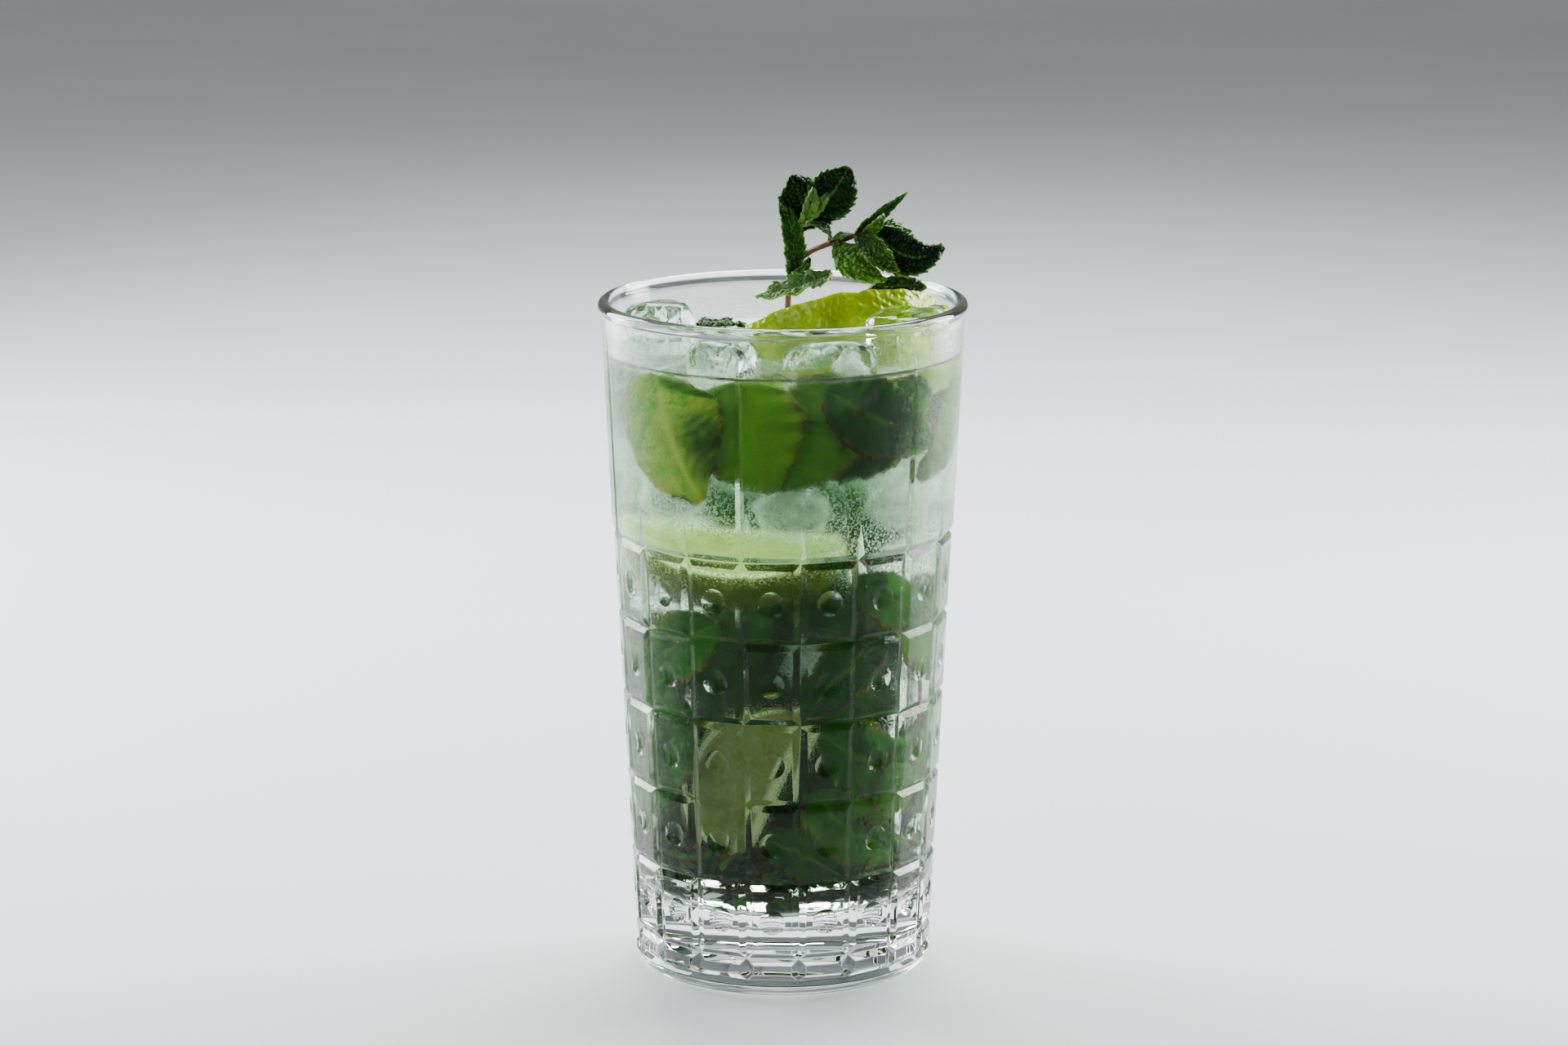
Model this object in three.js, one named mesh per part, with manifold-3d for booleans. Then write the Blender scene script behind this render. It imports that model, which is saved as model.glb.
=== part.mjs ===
// A mojito in a tall pressed-glass tumbler: rum and soda with ice, a lime wedge and mint.
// Units are millimetres and +Z is up. The origin is the centre of the tumbler's foot, on the table.
// The front of the glass faces -Y. Angles round the glass run from the front towards +X.

import * as THREE from "three";
import { mergeVertices } from "three/addons/utils/BufferGeometryUtils.js";
import Module from "manifold-3d";

const wasm = await Module();
wasm.setup();

// Tumbler
const GLASS_HEIGHT = 157;
const FOOT_RADIUS = 34.5;
const MOUTH_RADIUS = 41.9;
const FLOOR_HEIGHT = 18;
const FLOOR_RADIUS = 29.6;
const BORE_RADIUS = 39.3;
const FLOOR_FILLET = 6;
const BEAD_RADIUS = 1.55;
const BEAD_STAND_PROUD = 0.55;
const FOOT_ROUNDING = 4.2;
const FOOT_RING = { inside: 25, recess: 1.2 };

// Pressed pattern: columns of panels between V-shaped grooves, with a round dimple in each panel
const COLUMNS = 18;
const FIRST_GROOVE_ANGLE = 6.05;
const GROOVE_RINGS = [9.5, 27.5, 46.5, 65.5, 84.5, 103.4];
const GROOVE_HALF_WIDTH = 1.5;
const GROOVE_DEPTH = 0.95;
const DIMPLE = { radius: 3, depth: 0.9, sides: 8 };
const LONG_GROOVE = { every: 3, first: 2, top: 150.5, depth: 0.7 };
const STUB_GROOVE_HEIGHT = 9;

// Drink
const CONTACT_GAP = 0.3;
const DRINK_LEVEL = 144.5;
const WALL_SEGMENTS = 3 * COLUMNS;

// Lime wedge, cut from a lime along its length and trimmed at both ends
const LIME = {
  centre: [11.7, 12, 147.4],
  pitch: 5.6,
  yaw: 16,
  radius: 21.5,
  halfLength: 27,
  trim: 0.84,
  topCut: 33.7,
  bottomCut: -36,
  core: 4.5,
};

// Ice that breaks the surface: centre, size along each axis, corner rounding, turn about Z, tilt about X
const ICE_CUBES = {
  ice_left: { centre: [-28.2, 3, 146], size: [17, 18, 19.6], rounding: 5.5, turn: 10, tilt: -7 },
  ice_front_left: { centre: [-13.2, -25.4, 143.8], size: [15, 15, 17.6], rounding: 5, turn: -24, tilt: 5 },
  ice_front: { centre: [10.6, -26.4, 143.2], size: [20.4, 16.6, 18.4], rounding: 6, turn: 20, tilt: -5 },
  ice_right: { centre: [28.2, -12.2, 147.2], size: [16.4, 16.4, 18], rounding: 3, turn: -28, tilt: 3 },
  ice_chip: { centre: [35.6, 0.2, 150], size: [6, 7, 10.4], rounding: 1.6, turn: 4, tilt: 4 },
};

// Mint: stems as points along their middle, leaves as base, middle and tip of their midrib,
// half width, the way the upper face looks, the fold up from the midrib in degrees,
// and how near the tip the widest place is
const STEM_RADIUS = 0.75;
const LEAF_THICKNESS = 0.6;
const MAIN_STEM = [
  [1.6, 26, 130], [1.4, 22.5, 155.7], [2.2, 20.5, 160.7], [5, 19, 163.7],
  [9.4, 16, 166.5], [14.4, 13, 168.5], [18.7, 12, 170.4], [21.6, 12, 171.8],
];
const SIDE_STEM = [[3.1, 20, 161.4], [4.1, 20, 166.1], [3.9, 20.3, 170.4], [4.2, 20.4, 172]];
const SPRIG_LEAVES = [
  { base: [3.8, 20.2, 169.4], mid: [10.3, 17.6, 176.9], tip: [15.2, 17, 185.4],
    half: 4.7, face: [0.1, -1, 0.2], fold: 8, wide: 1.1 },
  { base: [3.9, 20.2, 169.6], mid: [2.6, 18.7, 175.1], tip: [-0.4, 18.2, 180.8],
    half: 3.6, face: [0, -1, 0.3], fold: 12, wide: 1.2 },
  { base: [1.6, 21.4, 157.6], mid: [2.3, 17.4, 167.4], tip: [-1, 18, 177.6],
    half: 2.9, face: [0.3, -1, 0], fold: 28, wide: 0.9 },
  { base: [1.7, 21.6, 158], mid: [4.5, 17.8, 160.5], tip: [6.2, 17.6, 163.4],
    half: 1.5, face: [0.4, -1, 0.4], fold: 30, wide: 0.8 },
  { base: [4.2, 19.9, 170.8], mid: [7, 14.6, 175.4], tip: [8.5, 15, 179],
    half: 2.4, face: [0, -1, 0.2], fold: 38, wide: 1.4 },
  { base: [10.6, 15.2, 167.2], mid: [9.9, 12, 170.9], tip: [5.7, 12, 172.3],
    half: 1.3, face: [0.4, -0.6, 0.6], fold: 20, wide: 0.9 },
  { base: [16, 12.7, 169.6], mid: [13.8, 10.5, 169.7], tip: [11.4, 10.6, 168.9],
    half: 1, face: [0, -0.6, 1], fold: 16, wide: 0.9 },
  { base: [16.8, 12.4, 169.8], mid: [21.8, 12, 174.4], tip: [28.6, 14, 179.2],
    half: 1.8, face: [0.5, -1, -0.2], fold: 30, wide: 0.7 },
  { base: [18.8, 12, 170.2], mid: [21.2, 9.4, 172.2], tip: [23.2, 10.2, 174.6],
    half: 1.6, face: [0.3, -1, 0], fold: 30, wide: 0.8 },
  { base: [20.2, 12, 170.8], mid: [25.2, 13, 170.1], tip: [29.6, 15, 169.8],
    half: 2.2, face: [0.1, -1, 0.3], fold: 20, wide: 0.8 },
  { base: [13.2, 13.6, 168], mid: [16.1, 6.4, 164.2], tip: [23.6, 7, 159.9],
    half: 2.9, face: [-0.3, -1, 0.5], fold: -12, wide: 0.8 },
  { base: [17.4, 12.2, 169.6], mid: [21.8, 6, 165.9], tip: [26.2, 6.8, 162],
    half: 2.2, face: [0, -1, 0.4], fold: 26, wide: 0.8 },
  { base: [21, 12.2, 171.2], mid: [29, 9.6, 165], tip: [37, 10, 167.4],
    half: 5.1, face: [-0.1, -1, 0.25], fold: 10, wide: 0.66 },
  { base: [4, 20.4, 171.4], mid: [6.4, 25.6, 174.6], tip: [10.4, 31, 174.6],
    half: 4.2, face: [-0.5, 0, 1], fold: 14, wide: 0.8 },
  { base: [20.8, 12.2, 171.4], mid: [24, 17.8, 170.2], tip: [25.6, 24, 167],
    half: 3.8, face: [0.1, 0.5, 1], fold: 14, wide: 0.8 },
];
const LOOSE_LEAVES = {
  mint_leaf_front: {
    base: [11.3, 12.5, 160.4], mid: [4, 9.4, 158.2], tip: [-6, 10.5, 155.3],
    half: 3.4, face: [-0.1, -0.6, 1], fold: 16, wide: 0.9,
  },
  mint_leaf_right: {
    base: [19.8, 18.4, 155.6], mid: [26.9, 19.2, 156.4], tip: [33.3, 16.2, 156.8],
    half: 2.6, face: [0, -1, 0.4], fold: 14, wide: 1,
  },
  mint_leaf_back: {
    base: [-20.6, 27.6, 145.4], mid: [-15, 29.8, 145.7], tip: [-8.8, 30.2, 145.3],
    half: 3.6, face: [0, 0, 1], fold: 6, wide: 0.9,
  },
};
const LEAF_STEPS = { along: 7, across: 4 };

// Finishes
const GLASS_LOOK = { color: 0xdfe9e4, roughness: 0.05, metalness: 0, transparent: true, opacity: 0.35 };
const DRINK_LOOK = { color: 0x9db06a, roughness: 0.1, metalness: 0, transparent: true, opacity: 0.6 };
const ICE_LOOK = { color: 0xeaf3f4, roughness: 0.12, metalness: 0, transparent: true, opacity: 0.6 };
const LIME_LOOK = { color: 0x9dbb16, roughness: 0.4, metalness: 0 };
const MINT_LOOK = { color: 0x2f6b24, roughness: 0.6, metalness: 0 };

const radians = THREE.MathUtils.degToRad;
const vector = (xyz) => new THREE.Vector3(...xyz);
const mix = THREE.MathUtils.lerp;

// Point at an angle round the glass, in degrees from the front towards +X
function polar(angle, radius, z) {
  return new THREE.Vector3(radius * Math.sin(radians(angle)), -radius * Math.cos(radians(angle)), z);
}

const outerRadius = (z) => mix(FOOT_RADIUS, MOUTH_RADIUS, z / GLASS_HEIGHT);
const boreRadius = (z) => mix(
  FLOOR_RADIUS,
  BORE_RADIUS,
  (z - FLOOR_HEIGHT) / (GLASS_HEIGHT - FLOOR_HEIGHT),
);

// Collects triangles, given as points in order with their front facing out
class Skin {
  constructor() {
    this.positions = [];
  }

  triangle(a, b, c) {
    for (const point of [a, b, c]) {
      this.positions.push(point.x, point.y, point.z);
    }
  }

  quad(a, b, c, d) {
    this.triangle(a, b, c);
    this.triangle(a, c, d);
  }

  // Joins a lower closed row of points to an upper one with the same number of points
  band(lower, upper) {
    for (let i = 0; i < lower.length; i += 1) {
      const j = (i + 1) % lower.length;
      this.quad(lower[i], lower[j], upper[j], upper[i]);
    }
  }

  // Joins two open rows with different numbers of points, both running the same way
  strip(lower, upper) {
    let i = 0;
    let j = 0;
    while (i < lower.length - 1 || j < upper.length - 1) {
      const lowerNext = (i + 1) / (lower.length - 1);
      const upperNext = (j + 1) / (upper.length - 1);
      if (j === upper.length - 1 || (i < lower.length - 1 && lowerNext <= upperNext)) {
        this.triangle(lower[i], lower[i + 1], upper[j]);
        i += 1;
      } else {
        this.triangle(lower[i], upper[j + 1], upper[j]);
        j += 1;
      }
    }
  }

  // Closes a row of points to a centre
  fan(row, centre) {
    for (let i = 0; i < row.length; i += 1) {
      this.triangle(row[i], row[(i + 1) % row.length], centre);
    }
  }

  geometry() {
    const geometry = new THREE.BufferGeometry();
    geometry.setAttribute("position", new THREE.Float32BufferAttribute(this.positions, 3));
    return geometry;
  }
}

// Turns any closed geometry into a solid with its faces pointing out
function toSolid(source) {
  const bare = source.clone();
  bare.deleteAttribute("normal");
  bare.deleteAttribute("uv");
  const merged = mergeVertices(bare, 1e-4);
  const index = merged.index.array;
  const points = merged.attributes.position.array;
  const corner = (i) => new THREE.Vector3().fromArray(points, 3 * index[i]);
  const kept = [];
  let volume = 0;
  for (let i = 0; i < index.length; i += 3) {
    const [a, b, c] = [index[i], index[i + 1], index[i + 2]];
    if (a !== b && b !== c && c !== a) {
      kept.push(a, b, c);
      volume += corner(i).dot(corner(i + 1).cross(corner(i + 2)));
    }
  }
  if (volume < 0) {
    kept.reverse();
  }
  return new wasm.Manifold(new wasm.Mesh({
    numProp: 3,
    vertProperties: new Float32Array(points),
    triVerts: new Uint32Array(kept),
  }));
}

function toGeometry(solid) {
  const mesh = solid.getMesh();
  const geometry = new THREE.BufferGeometry();
  geometry.setAttribute("position", new THREE.BufferAttribute(new Float32Array(mesh.vertProperties), 3));
  geometry.setIndex(new THREE.BufferAttribute(new Uint32Array(mesh.triVerts), 1));
  return geometry;
}

// Solid of revolution about Z from [radius, z] pairs, its corners in line with the tumbler's bore
function revolve(profile) {
  const points = profile.map(([radius, z]) => new THREE.Vector2(radius, z));
  const geometry = new THREE.LatheGeometry(points, WALL_SEGMENTS, radians(FIRST_GROOVE_ANGLE));
  return toSolid(geometry.rotateX(Math.PI / 2));
}

// A row round the whole glass with some points in each column, given as [share of column, radius, z]
function glassRow(stations) {
  const row = [];
  for (let column = 0; column < COLUMNS; column += 1) {
    for (const [share, radius, z] of stations(column)) {
      row.push(polar(FIRST_GROOVE_ANGLE + (column + share) * (360 / COLUMNS), radius, z));
    }
  }
  return row;
}

const evenRow = (radius, z) => glassRow(() => [0, 1 / 3, 2 / 3].map((share) => [share, radius, z]));

// Share of a column's width that half a groove takes at a height
const grooveShare = (z) => (GROOVE_HALF_WIDTH / outerRadius(z)) / radians(360 / COLUMNS);

// One flat panel with a dimple, between the points of its four corners in order
function dimpledPanel(skin, corners) {
  const centre = corners.reduce((sum, corner) => sum.add(corner), new THREE.Vector3()).divideScalar(4);
  const across = corners[1].clone().sub(corners[0]).normalize();
  const upward = corners[3].clone().sub(corners[0]).add(corners[2]).sub(corners[1]);
  upward.addScaledVector(across, -upward.dot(across)).normalize();
  const outward = across.clone().cross(upward);
  const ring = (radius, depth) => Array.from({ length: DIMPLE.sides }, (_, i) => {
    const turn = ((i - 2.5) / DIMPLE.sides) * 2 * Math.PI;
    return centre.clone()
      .addScaledVector(across, radius * Math.cos(turn))
      .addScaledVector(upward, radius * Math.sin(turn))
      .addScaledVector(outward, -depth);
  });
  const edge = ring(DIMPLE.radius, 0);
  const bowl = ring(DIMPLE.radius * 0.58, DIMPLE.depth * 0.7);
  for (let side = 0; side < 4; side += 1) {
    const [a, b] = [corners[side], corners[(side + 1) % 4]];
    const [p, q, r] = [2 * side, 2 * side + 1, (2 * side + 2) % DIMPLE.sides].map((i) => edge[i]);
    skin.triangle(a, q, p);
    skin.quad(a, b, r, q);
  }
  skin.band(edge, bowl);
  skin.fan(bowl, centre.clone().addScaledVector(outward, -DIMPLE.depth));
}

// Panel rows between the groove rings, with the bevels that lead down into the grooves
function panelRows(skin) {
  const crossing = (column, ring) => {
    const z = GROOVE_RINGS[ring];
    return polar(FIRST_GROOVE_ANGLE + column * (360 / COLUMNS), outerRadius(z) - GROOVE_DEPTH, z);
  };
  const corner = (column, side, z) => {
    const share = side > 0 ? 1 - grooveShare(z) : grooveShare(z);
    return polar(FIRST_GROOVE_ANGLE + (column + share) * (360 / COLUMNS), outerRadius(z), z);
  };
  for (let ring = 0; ring < GROOVE_RINGS.length - 1; ring += 1) {
    const low = GROOVE_RINGS[ring] + GROOVE_HALF_WIDTH;
    const high = GROOVE_RINGS[ring + 1] - GROOVE_HALF_WIDTH;
    for (let column = 0; column < COLUMNS; column += 1) {
      const next = (column + 1) % COLUMNS;
      const face = [corner(column, -1, low), corner(column, 1, low),
        corner(column, 1, high), corner(column, -1, high)];
      const grooves = [crossing(column, ring), crossing(next, ring),
        crossing(next, ring + 1), crossing(column, ring + 1)];
      for (let side = 0; side < 4; side += 1) {
        const after = (side + 1) % 4;
        skin.quad(grooves[side], grooves[after], face[after], face[side]);
      }
      dimpledPanel(skin, face);
    }
  }
}

// Round wall over the panels, with long grooves and short tapering ones, up to the rim's bead
function upperWall(skin, topRow) {
  const firstRing = GROOVE_RINGS.at(-1);
  const isLong = (column) => column % LONG_GROOVE.every === LONG_GROOVE.first;
  const depthAt = (column, z) => {
    if (isLong(column)) {
      return z <= LONG_GROOVE.top ? LONG_GROOVE.depth : 0;
    }
    return Math.max(0, GROOVE_DEPTH * (1 - (z - firstRing) / STUB_GROOVE_HEIGHT));
  };
  const row = (z) => glassRow((column) => {
    const half = grooveShare(z);
    return [0, half, 0.37, 0.63, 1 - half]
      .map((share, i) => [share, outerRadius(z) - (i === 0 ? depthAt(column, z) : 0), z]);
  });
  const pointsInColumn = 5;
  const heights = [
    firstRing + GROOVE_HALF_WIDTH, firstRing + STUB_GROOVE_HEIGHT, LONG_GROOVE.top, LONG_GROOVE.top + 2,
  ];
  const rows = heights.map(row);
  const bottom = glassRow(() => [[0, outerRadius(firstRing) - GROOVE_DEPTH, firstRing]]);
  const inColumn = (points, column, count) => Array.from({ length: count + 1 },
    (_, i) => points[(column * count + i) % points.length]);
  for (let column = 0; column < COLUMNS; column += 1) {
    skin.strip(inColumn(bottom, column, 1), inColumn(rows[0], column, pointsInColumn));
    skin.strip(inColumn(rows.at(-1), column, pointsInColumn), inColumn(topRow, column, 3));
  }
  for (let i = 0; i < rows.length - 1; i += 1) {
    skin.band(rows[i], rows[i + 1]);
  }
}

// Foot: a skirt of short flats whose grooves run out, a rounded edge, a resting ring and a recess
function foot(skin) {
  const ring = GROOVE_RINGS[0];
  const skirtTop = ring - GROOVE_HALF_WIDTH;
  const flats = (z, depth) => glassRow(() => {
    const half = grooveShare(z);
    return [[0, outerRadius(z) - depth, z], [half, outerRadius(z), z], [1 - half, outerRadius(z), z]];
  });
  const crossings = glassRow(() => [[0, outerRadius(ring) - GROOVE_DEPTH, ring]]);
  const upper = flats(skirtTop, GROOVE_DEPTH);
  for (let column = 0; column < COLUMNS; column += 1) {
    const next = (column + 1) % COLUMNS;
    const [groove, left, right] = upper.slice(3 * column, 3 * column + 3);
    const nextGroove = upper[3 * next];
    skin.triangle(groove, left, crossings[column]);
    skin.triangle(right, nextGroove, crossings[next]);
    skin.quad(left, right, crossings[next], crossings[column]);
  }
  const rounded = [0, 30, 60, 90].map((turn) => evenRow(
    outerRadius(FOOT_ROUNDING) - FOOT_ROUNDING * (1 - Math.cos(radians(turn))),
    FOOT_ROUNDING * (1 - Math.sin(radians(turn))),
  ));
  const ringInside = evenRow(FOOT_RING.inside, 0);
  skin.band(flats(FOOT_ROUNDING + 0.6, 0.3), upper);
  skin.band(rounded[0], flats(FOOT_ROUNDING + 0.6, 0.3));
  for (let i = 0; i < rounded.length - 1; i += 1) {
    skin.band(rounded[i + 1], rounded[i]);
  }
  skin.band(ringInside, rounded.at(-1));
  const recess = evenRow(FOOT_RING.inside - 2, FOOT_RING.recess);
  skin.band(recess, ringInside);
  skin.fan(recess.reverse(), new THREE.Vector3(0, 0, FOOT_RING.recess));
}

// Rim bead as rows from the outside, over the top, to the inside
function rimRows() {
  const middle = GLASS_HEIGHT - BEAD_RADIUS;
  const centre = MOUTH_RADIUS + BEAD_STAND_PROUD - BEAD_RADIUS;
  return [-40, 0, 45, 90, 135, 180].map((turn) => evenRow(
    centre + BEAD_RADIUS * Math.cos(radians(turn)),
    middle + BEAD_RADIUS * Math.sin(radians(turn)),
  ));
}

// Profile of the tumbler's bore from the middle of its floor up to a height, moved in by a gap
function boreProfile(top, gap) {
  const centre = boreRadius(FLOOR_HEIGHT + FLOOR_FILLET) - FLOOR_FILLET;
  const fillet = [0, 30, 60, 90].map((turn) => [
    centre + (FLOOR_FILLET - gap) * Math.sin(radians(turn)),
    FLOOR_HEIGHT + FLOOR_FILLET - (FLOOR_FILLET - gap) * Math.cos(radians(turn)),
  ]);
  return [[0, FLOOR_HEIGHT + gap], ...fillet, [boreRadius(top) - gap, top]];
}

function tumbler() {
  const skin = new Skin();
  const rim = rimRows();
  foot(skin);
  panelRows(skin);
  upperWall(skin, rim[0]);
  for (let i = 0; i < rim.length - 1; i += 1) {
    skin.band(rim[i], rim[i + 1]);
  }
  const wall = boreProfile(GLASS_HEIGHT - 6, 0).slice(1).reverse();
  let above = rim.at(-1);
  for (const [radius, z] of wall) {
    const row = evenRow(radius, z);
    skin.band(above, row);
    above = row;
  }
  skin.fan(above, new THREE.Vector3(0, 0, FLOOR_HEIGHT));
  return skin.geometry();
}

// Half-melted cube: a box whose corners are rounded and whose faces bow out a little
function iceCube({ centre, size, rounding, turn, tilt }, grow = 0) {
  const steps = 4;
  const box = new THREE.BoxGeometry(1, 1, 1, steps, steps, steps);
  const places = box.attributes.position;
  const half = size.map((length) => length / 2);
  for (let i = 0; i < places.count; i += 1) {
    const point = new THREE.Vector3().fromBufferAttribute(places, i);
    const onBox = new THREE.Vector3(
      point.x * size[0] * 0.999, point.y * size[1] * 0.999, point.z * size[2] * 0.999,
    );
    const inner = onBox.clone().clamp(
      new THREE.Vector3(...half.map((length) => rounding - length)),
      new THREE.Vector3(...half.map((length) => length - rounding)),
    );
    const away = onBox.sub(inner).normalize();
    inner.addScaledVector(away, rounding + grow);
    places.setXYZ(i, inner.x, inner.y, inner.z);
  }
  const place = new THREE.Matrix4().makeRotationFromEuler(
    new THREE.Euler(radians(tilt), radians(tilt) / 2, radians(turn), "ZYX"),
  ).setPosition(...centre);
  return toSolid(box.applyMatrix4(place));
}

// Lime wedge: a lime's outline swept between two cuts, with the core sliced off
function limeWedge(grow = 0) {
  const along = 14;
  const round = 6;
  const { radius, halfLength, trim, topCut, bottomCut, core } = LIME;
  const outline = (s) => radius * (1 - Math.abs(s) ** 2.2) ** 0.62 + grow;
  const spread = THREE.MathUtils.radToDeg(grow / radius);
  const rows = [];
  for (let i = 0; i <= along; i += 1) {
    const s = mix(-trim, trim, i / along);
    const x = s * halfLength + Math.sign(s) * grow;
    const row = [];
    for (let j = 0; j <= round; j += 1) {
      const angle = radians(mix(bottomCut - spread, topCut + spread, j / round));
      row.push(new THREE.Vector3(x, -outline(s) * Math.cos(angle), outline(s) * Math.sin(angle)));
    }
    const [low, high] = [radians(bottomCut), radians(topCut)];
    row.push(new THREE.Vector3(x, -core * Math.cos(high) + grow, core * Math.sin(high) + grow));
    row.push(new THREE.Vector3(x, -core * Math.cos(low) + grow, core * Math.sin(low) - grow));
    rows.push(row);
  }
  const skin = new Skin();
  for (let i = 0; i < along; i += 1) {
    skin.band(rows[i], rows[i + 1]);
  }
  const middle = (row) => row.reduce((sum, p) => sum.add(p), new THREE.Vector3()).divideScalar(row.length);
  skin.fan([...rows[0]].reverse(), middle(rows[0]));
  skin.fan(rows.at(-1), middle(rows.at(-1)));
  const place = new THREE.Matrix4().makeRotationFromEuler(
    new THREE.Euler(0, radians(-LIME.pitch), radians(LIME.yaw), "ZYX"),
  ).setPosition(...LIME.centre);
  return toSolid(skin.geometry().applyMatrix4(place));
}

// Stem: a tube along a smooth curve
function stem(points, grow = 0) {
  const route = points.map(vector);
  route[0].addScaledVector(route[0].clone().sub(route[1]).normalize(), grow);
  const path = new THREE.CatmullRomCurve3(route);
  const section = new THREE.Shape().absarc(0, 0, STEM_RADIUS + grow, 0, 2 * Math.PI);
  return toSolid(new THREE.ExtrudeGeometry(section, {
    extrudePath: path,
    steps: 2 * (points.length - 1),
    curveSegments: 4,
  }));
}

// Width of a mint leaf along its midrib, as a share of its widest place
const leafWidth = (t, wide) => Math.max(0.14, Math.sin(Math.PI * t ** wide) ** 0.7);

// Leaf: a thin wavy solid with both faces split alike
function leaf({ base, mid, tip, half, face, fold, wide }, grow = 0) {
  const control = vector(mid).multiplyScalar(2)
    .addScaledVector(vector(base), -0.5)
    .addScaledVector(vector(tip), -0.5);
  const midrib = new THREE.QuadraticBezierCurve3(vector(base), control, vector(tip));
  const { along, across } = LEAF_STEPS;
  const faces = [[], []];
  for (let i = 0; i <= along; i += 1) {
    const t = i / along;
    const side = midrib.getTangent(t).cross(vector(face)).normalize();
    const normal = side.clone().cross(midrib.getTangent(t)).normalize();
    const width = half * leafWidth(t, wide) + grow;
    for (const [layer, offset] of [LEAF_THICKNESS / 2 + grow, -LEAF_THICKNESS / 2 - grow].entries()) {
      const row = [];
      for (let j = 0; j <= across; j += 1) {
        const u = 2 * (j / across) - 1;
        const wave = 0.08 * half * Math.abs(u) * Math.sin(9 * t + 2 * u);
        row.push(midrib.getPoint(t)
          .addScaledVector(side, u * width * Math.cos(radians(fold)))
          .addScaledVector(normal, Math.abs(u) * width * Math.sin(radians(fold)) + wave + offset));
      }
      faces[layer].push(row);
    }
  }
  const skin = new Skin();
  const [front, back] = faces;
  for (let i = 0; i < along; i += 1) {
    for (let j = 0; j < across; j += 1) {
      skin.quad(front[i][j], front[i + 1][j], front[i + 1][j + 1], front[i][j + 1]);
      skin.quad(back[i][j + 1], back[i + 1][j + 1], back[i + 1][j], back[i][j]);
    }
    skin.quad(front[i + 1][0], front[i][0], back[i][0], back[i + 1][0]);
    skin.quad(front[i][across], front[i + 1][across], back[i + 1][across], back[i][across]);
  }
  for (let j = 0; j < across; j += 1) {
    skin.quad(front[0][j], front[0][j + 1], back[0][j + 1], back[0][j]);
    skin.quad(front[along][j + 1], front[along][j], back[along][j], back[along][j + 1]);
  }
  return toSolid(skin.geometry());
}

// Everything that shares the tumbler, each piece cut back from those placed before it
function contents() {
  const bore = revolve([...boreProfile(GLASS_HEIGHT + 20, CONTACT_GAP), [0, GLASS_HEIGHT + 20]]);
  const lime = limeWedge();
  const limeClear = limeWedge(CONTACT_GAP);
  const pieces = { lime_wedge: { solid: lime.intersect(bore), clear: limeClear, look: LIME_LOOK } };
  for (const [name, cube] of Object.entries(ICE_CUBES)) {
    let solid = iceCube(cube).intersect(bore);
    for (const other of Object.values(pieces)) {
      solid = solid.subtract(other.clear);
    }
    pieces[name] = { solid, clear: iceCube(cube, CONTACT_GAP), look: ICE_LOOK };
  }
  const stems = stem(MAIN_STEM).add(stem(SIDE_STEM));
  const sprig = SPRIG_LEAVES.reduce((sum, shape) => sum.add(leaf(shape)), stems);
  pieces.mint_sprig = { solid: sprig, clear: stem(MAIN_STEM, CONTACT_GAP), look: MINT_LOOK };
  for (const [name, shape] of Object.entries(LOOSE_LEAVES)) {
    pieces[name] = { solid: leaf(shape), clear: leaf(shape, CONTACT_GAP), look: MINT_LOOK };
  }
  let drink = revolve([...boreProfile(DRINK_LEVEL, CONTACT_GAP), [0, DRINK_LEVEL]]);
  for (const { clear } of Object.values(pieces)) {
    drink = drink.subtract(clear);
  }
  return { drink: { solid: drink, look: DRINK_LOOK }, ...pieces };
}

const group = new THREE.Group();

function addNode(name, geometry, look) {
  const mesh = new THREE.Mesh(geometry, new THREE.MeshStandardMaterial(look));
  mesh.name = name;
  group.add(mesh);
}

addNode("glass", tumbler(), GLASS_LOOK);
for (const [name, { solid, look }] of Object.entries(contents())) {
  addNode(name, toGeometry(solid), look);
}

export default group;
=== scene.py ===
import math
import random

import bmesh
import bpy
import numpy as np
from mathutils import Matrix, Vector, noise


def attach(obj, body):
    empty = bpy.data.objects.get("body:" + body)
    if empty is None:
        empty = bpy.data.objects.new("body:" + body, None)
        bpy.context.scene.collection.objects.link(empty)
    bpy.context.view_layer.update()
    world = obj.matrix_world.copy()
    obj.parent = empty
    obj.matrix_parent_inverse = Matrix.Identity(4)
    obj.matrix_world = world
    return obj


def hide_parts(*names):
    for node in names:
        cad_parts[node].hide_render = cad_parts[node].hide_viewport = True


# A mojito in a tall pressed-glass tumbler. Lengths below are in millimetres and made metres by MM.
# The front of the glass faces -Y, and angles round it run from the front towards +X.
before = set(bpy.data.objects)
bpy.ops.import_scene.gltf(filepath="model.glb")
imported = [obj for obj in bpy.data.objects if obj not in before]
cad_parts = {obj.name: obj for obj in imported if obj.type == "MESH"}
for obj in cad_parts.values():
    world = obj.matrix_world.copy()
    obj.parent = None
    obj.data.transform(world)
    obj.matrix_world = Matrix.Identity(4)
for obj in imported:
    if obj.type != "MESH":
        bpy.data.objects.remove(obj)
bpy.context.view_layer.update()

MM = 0.001

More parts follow.
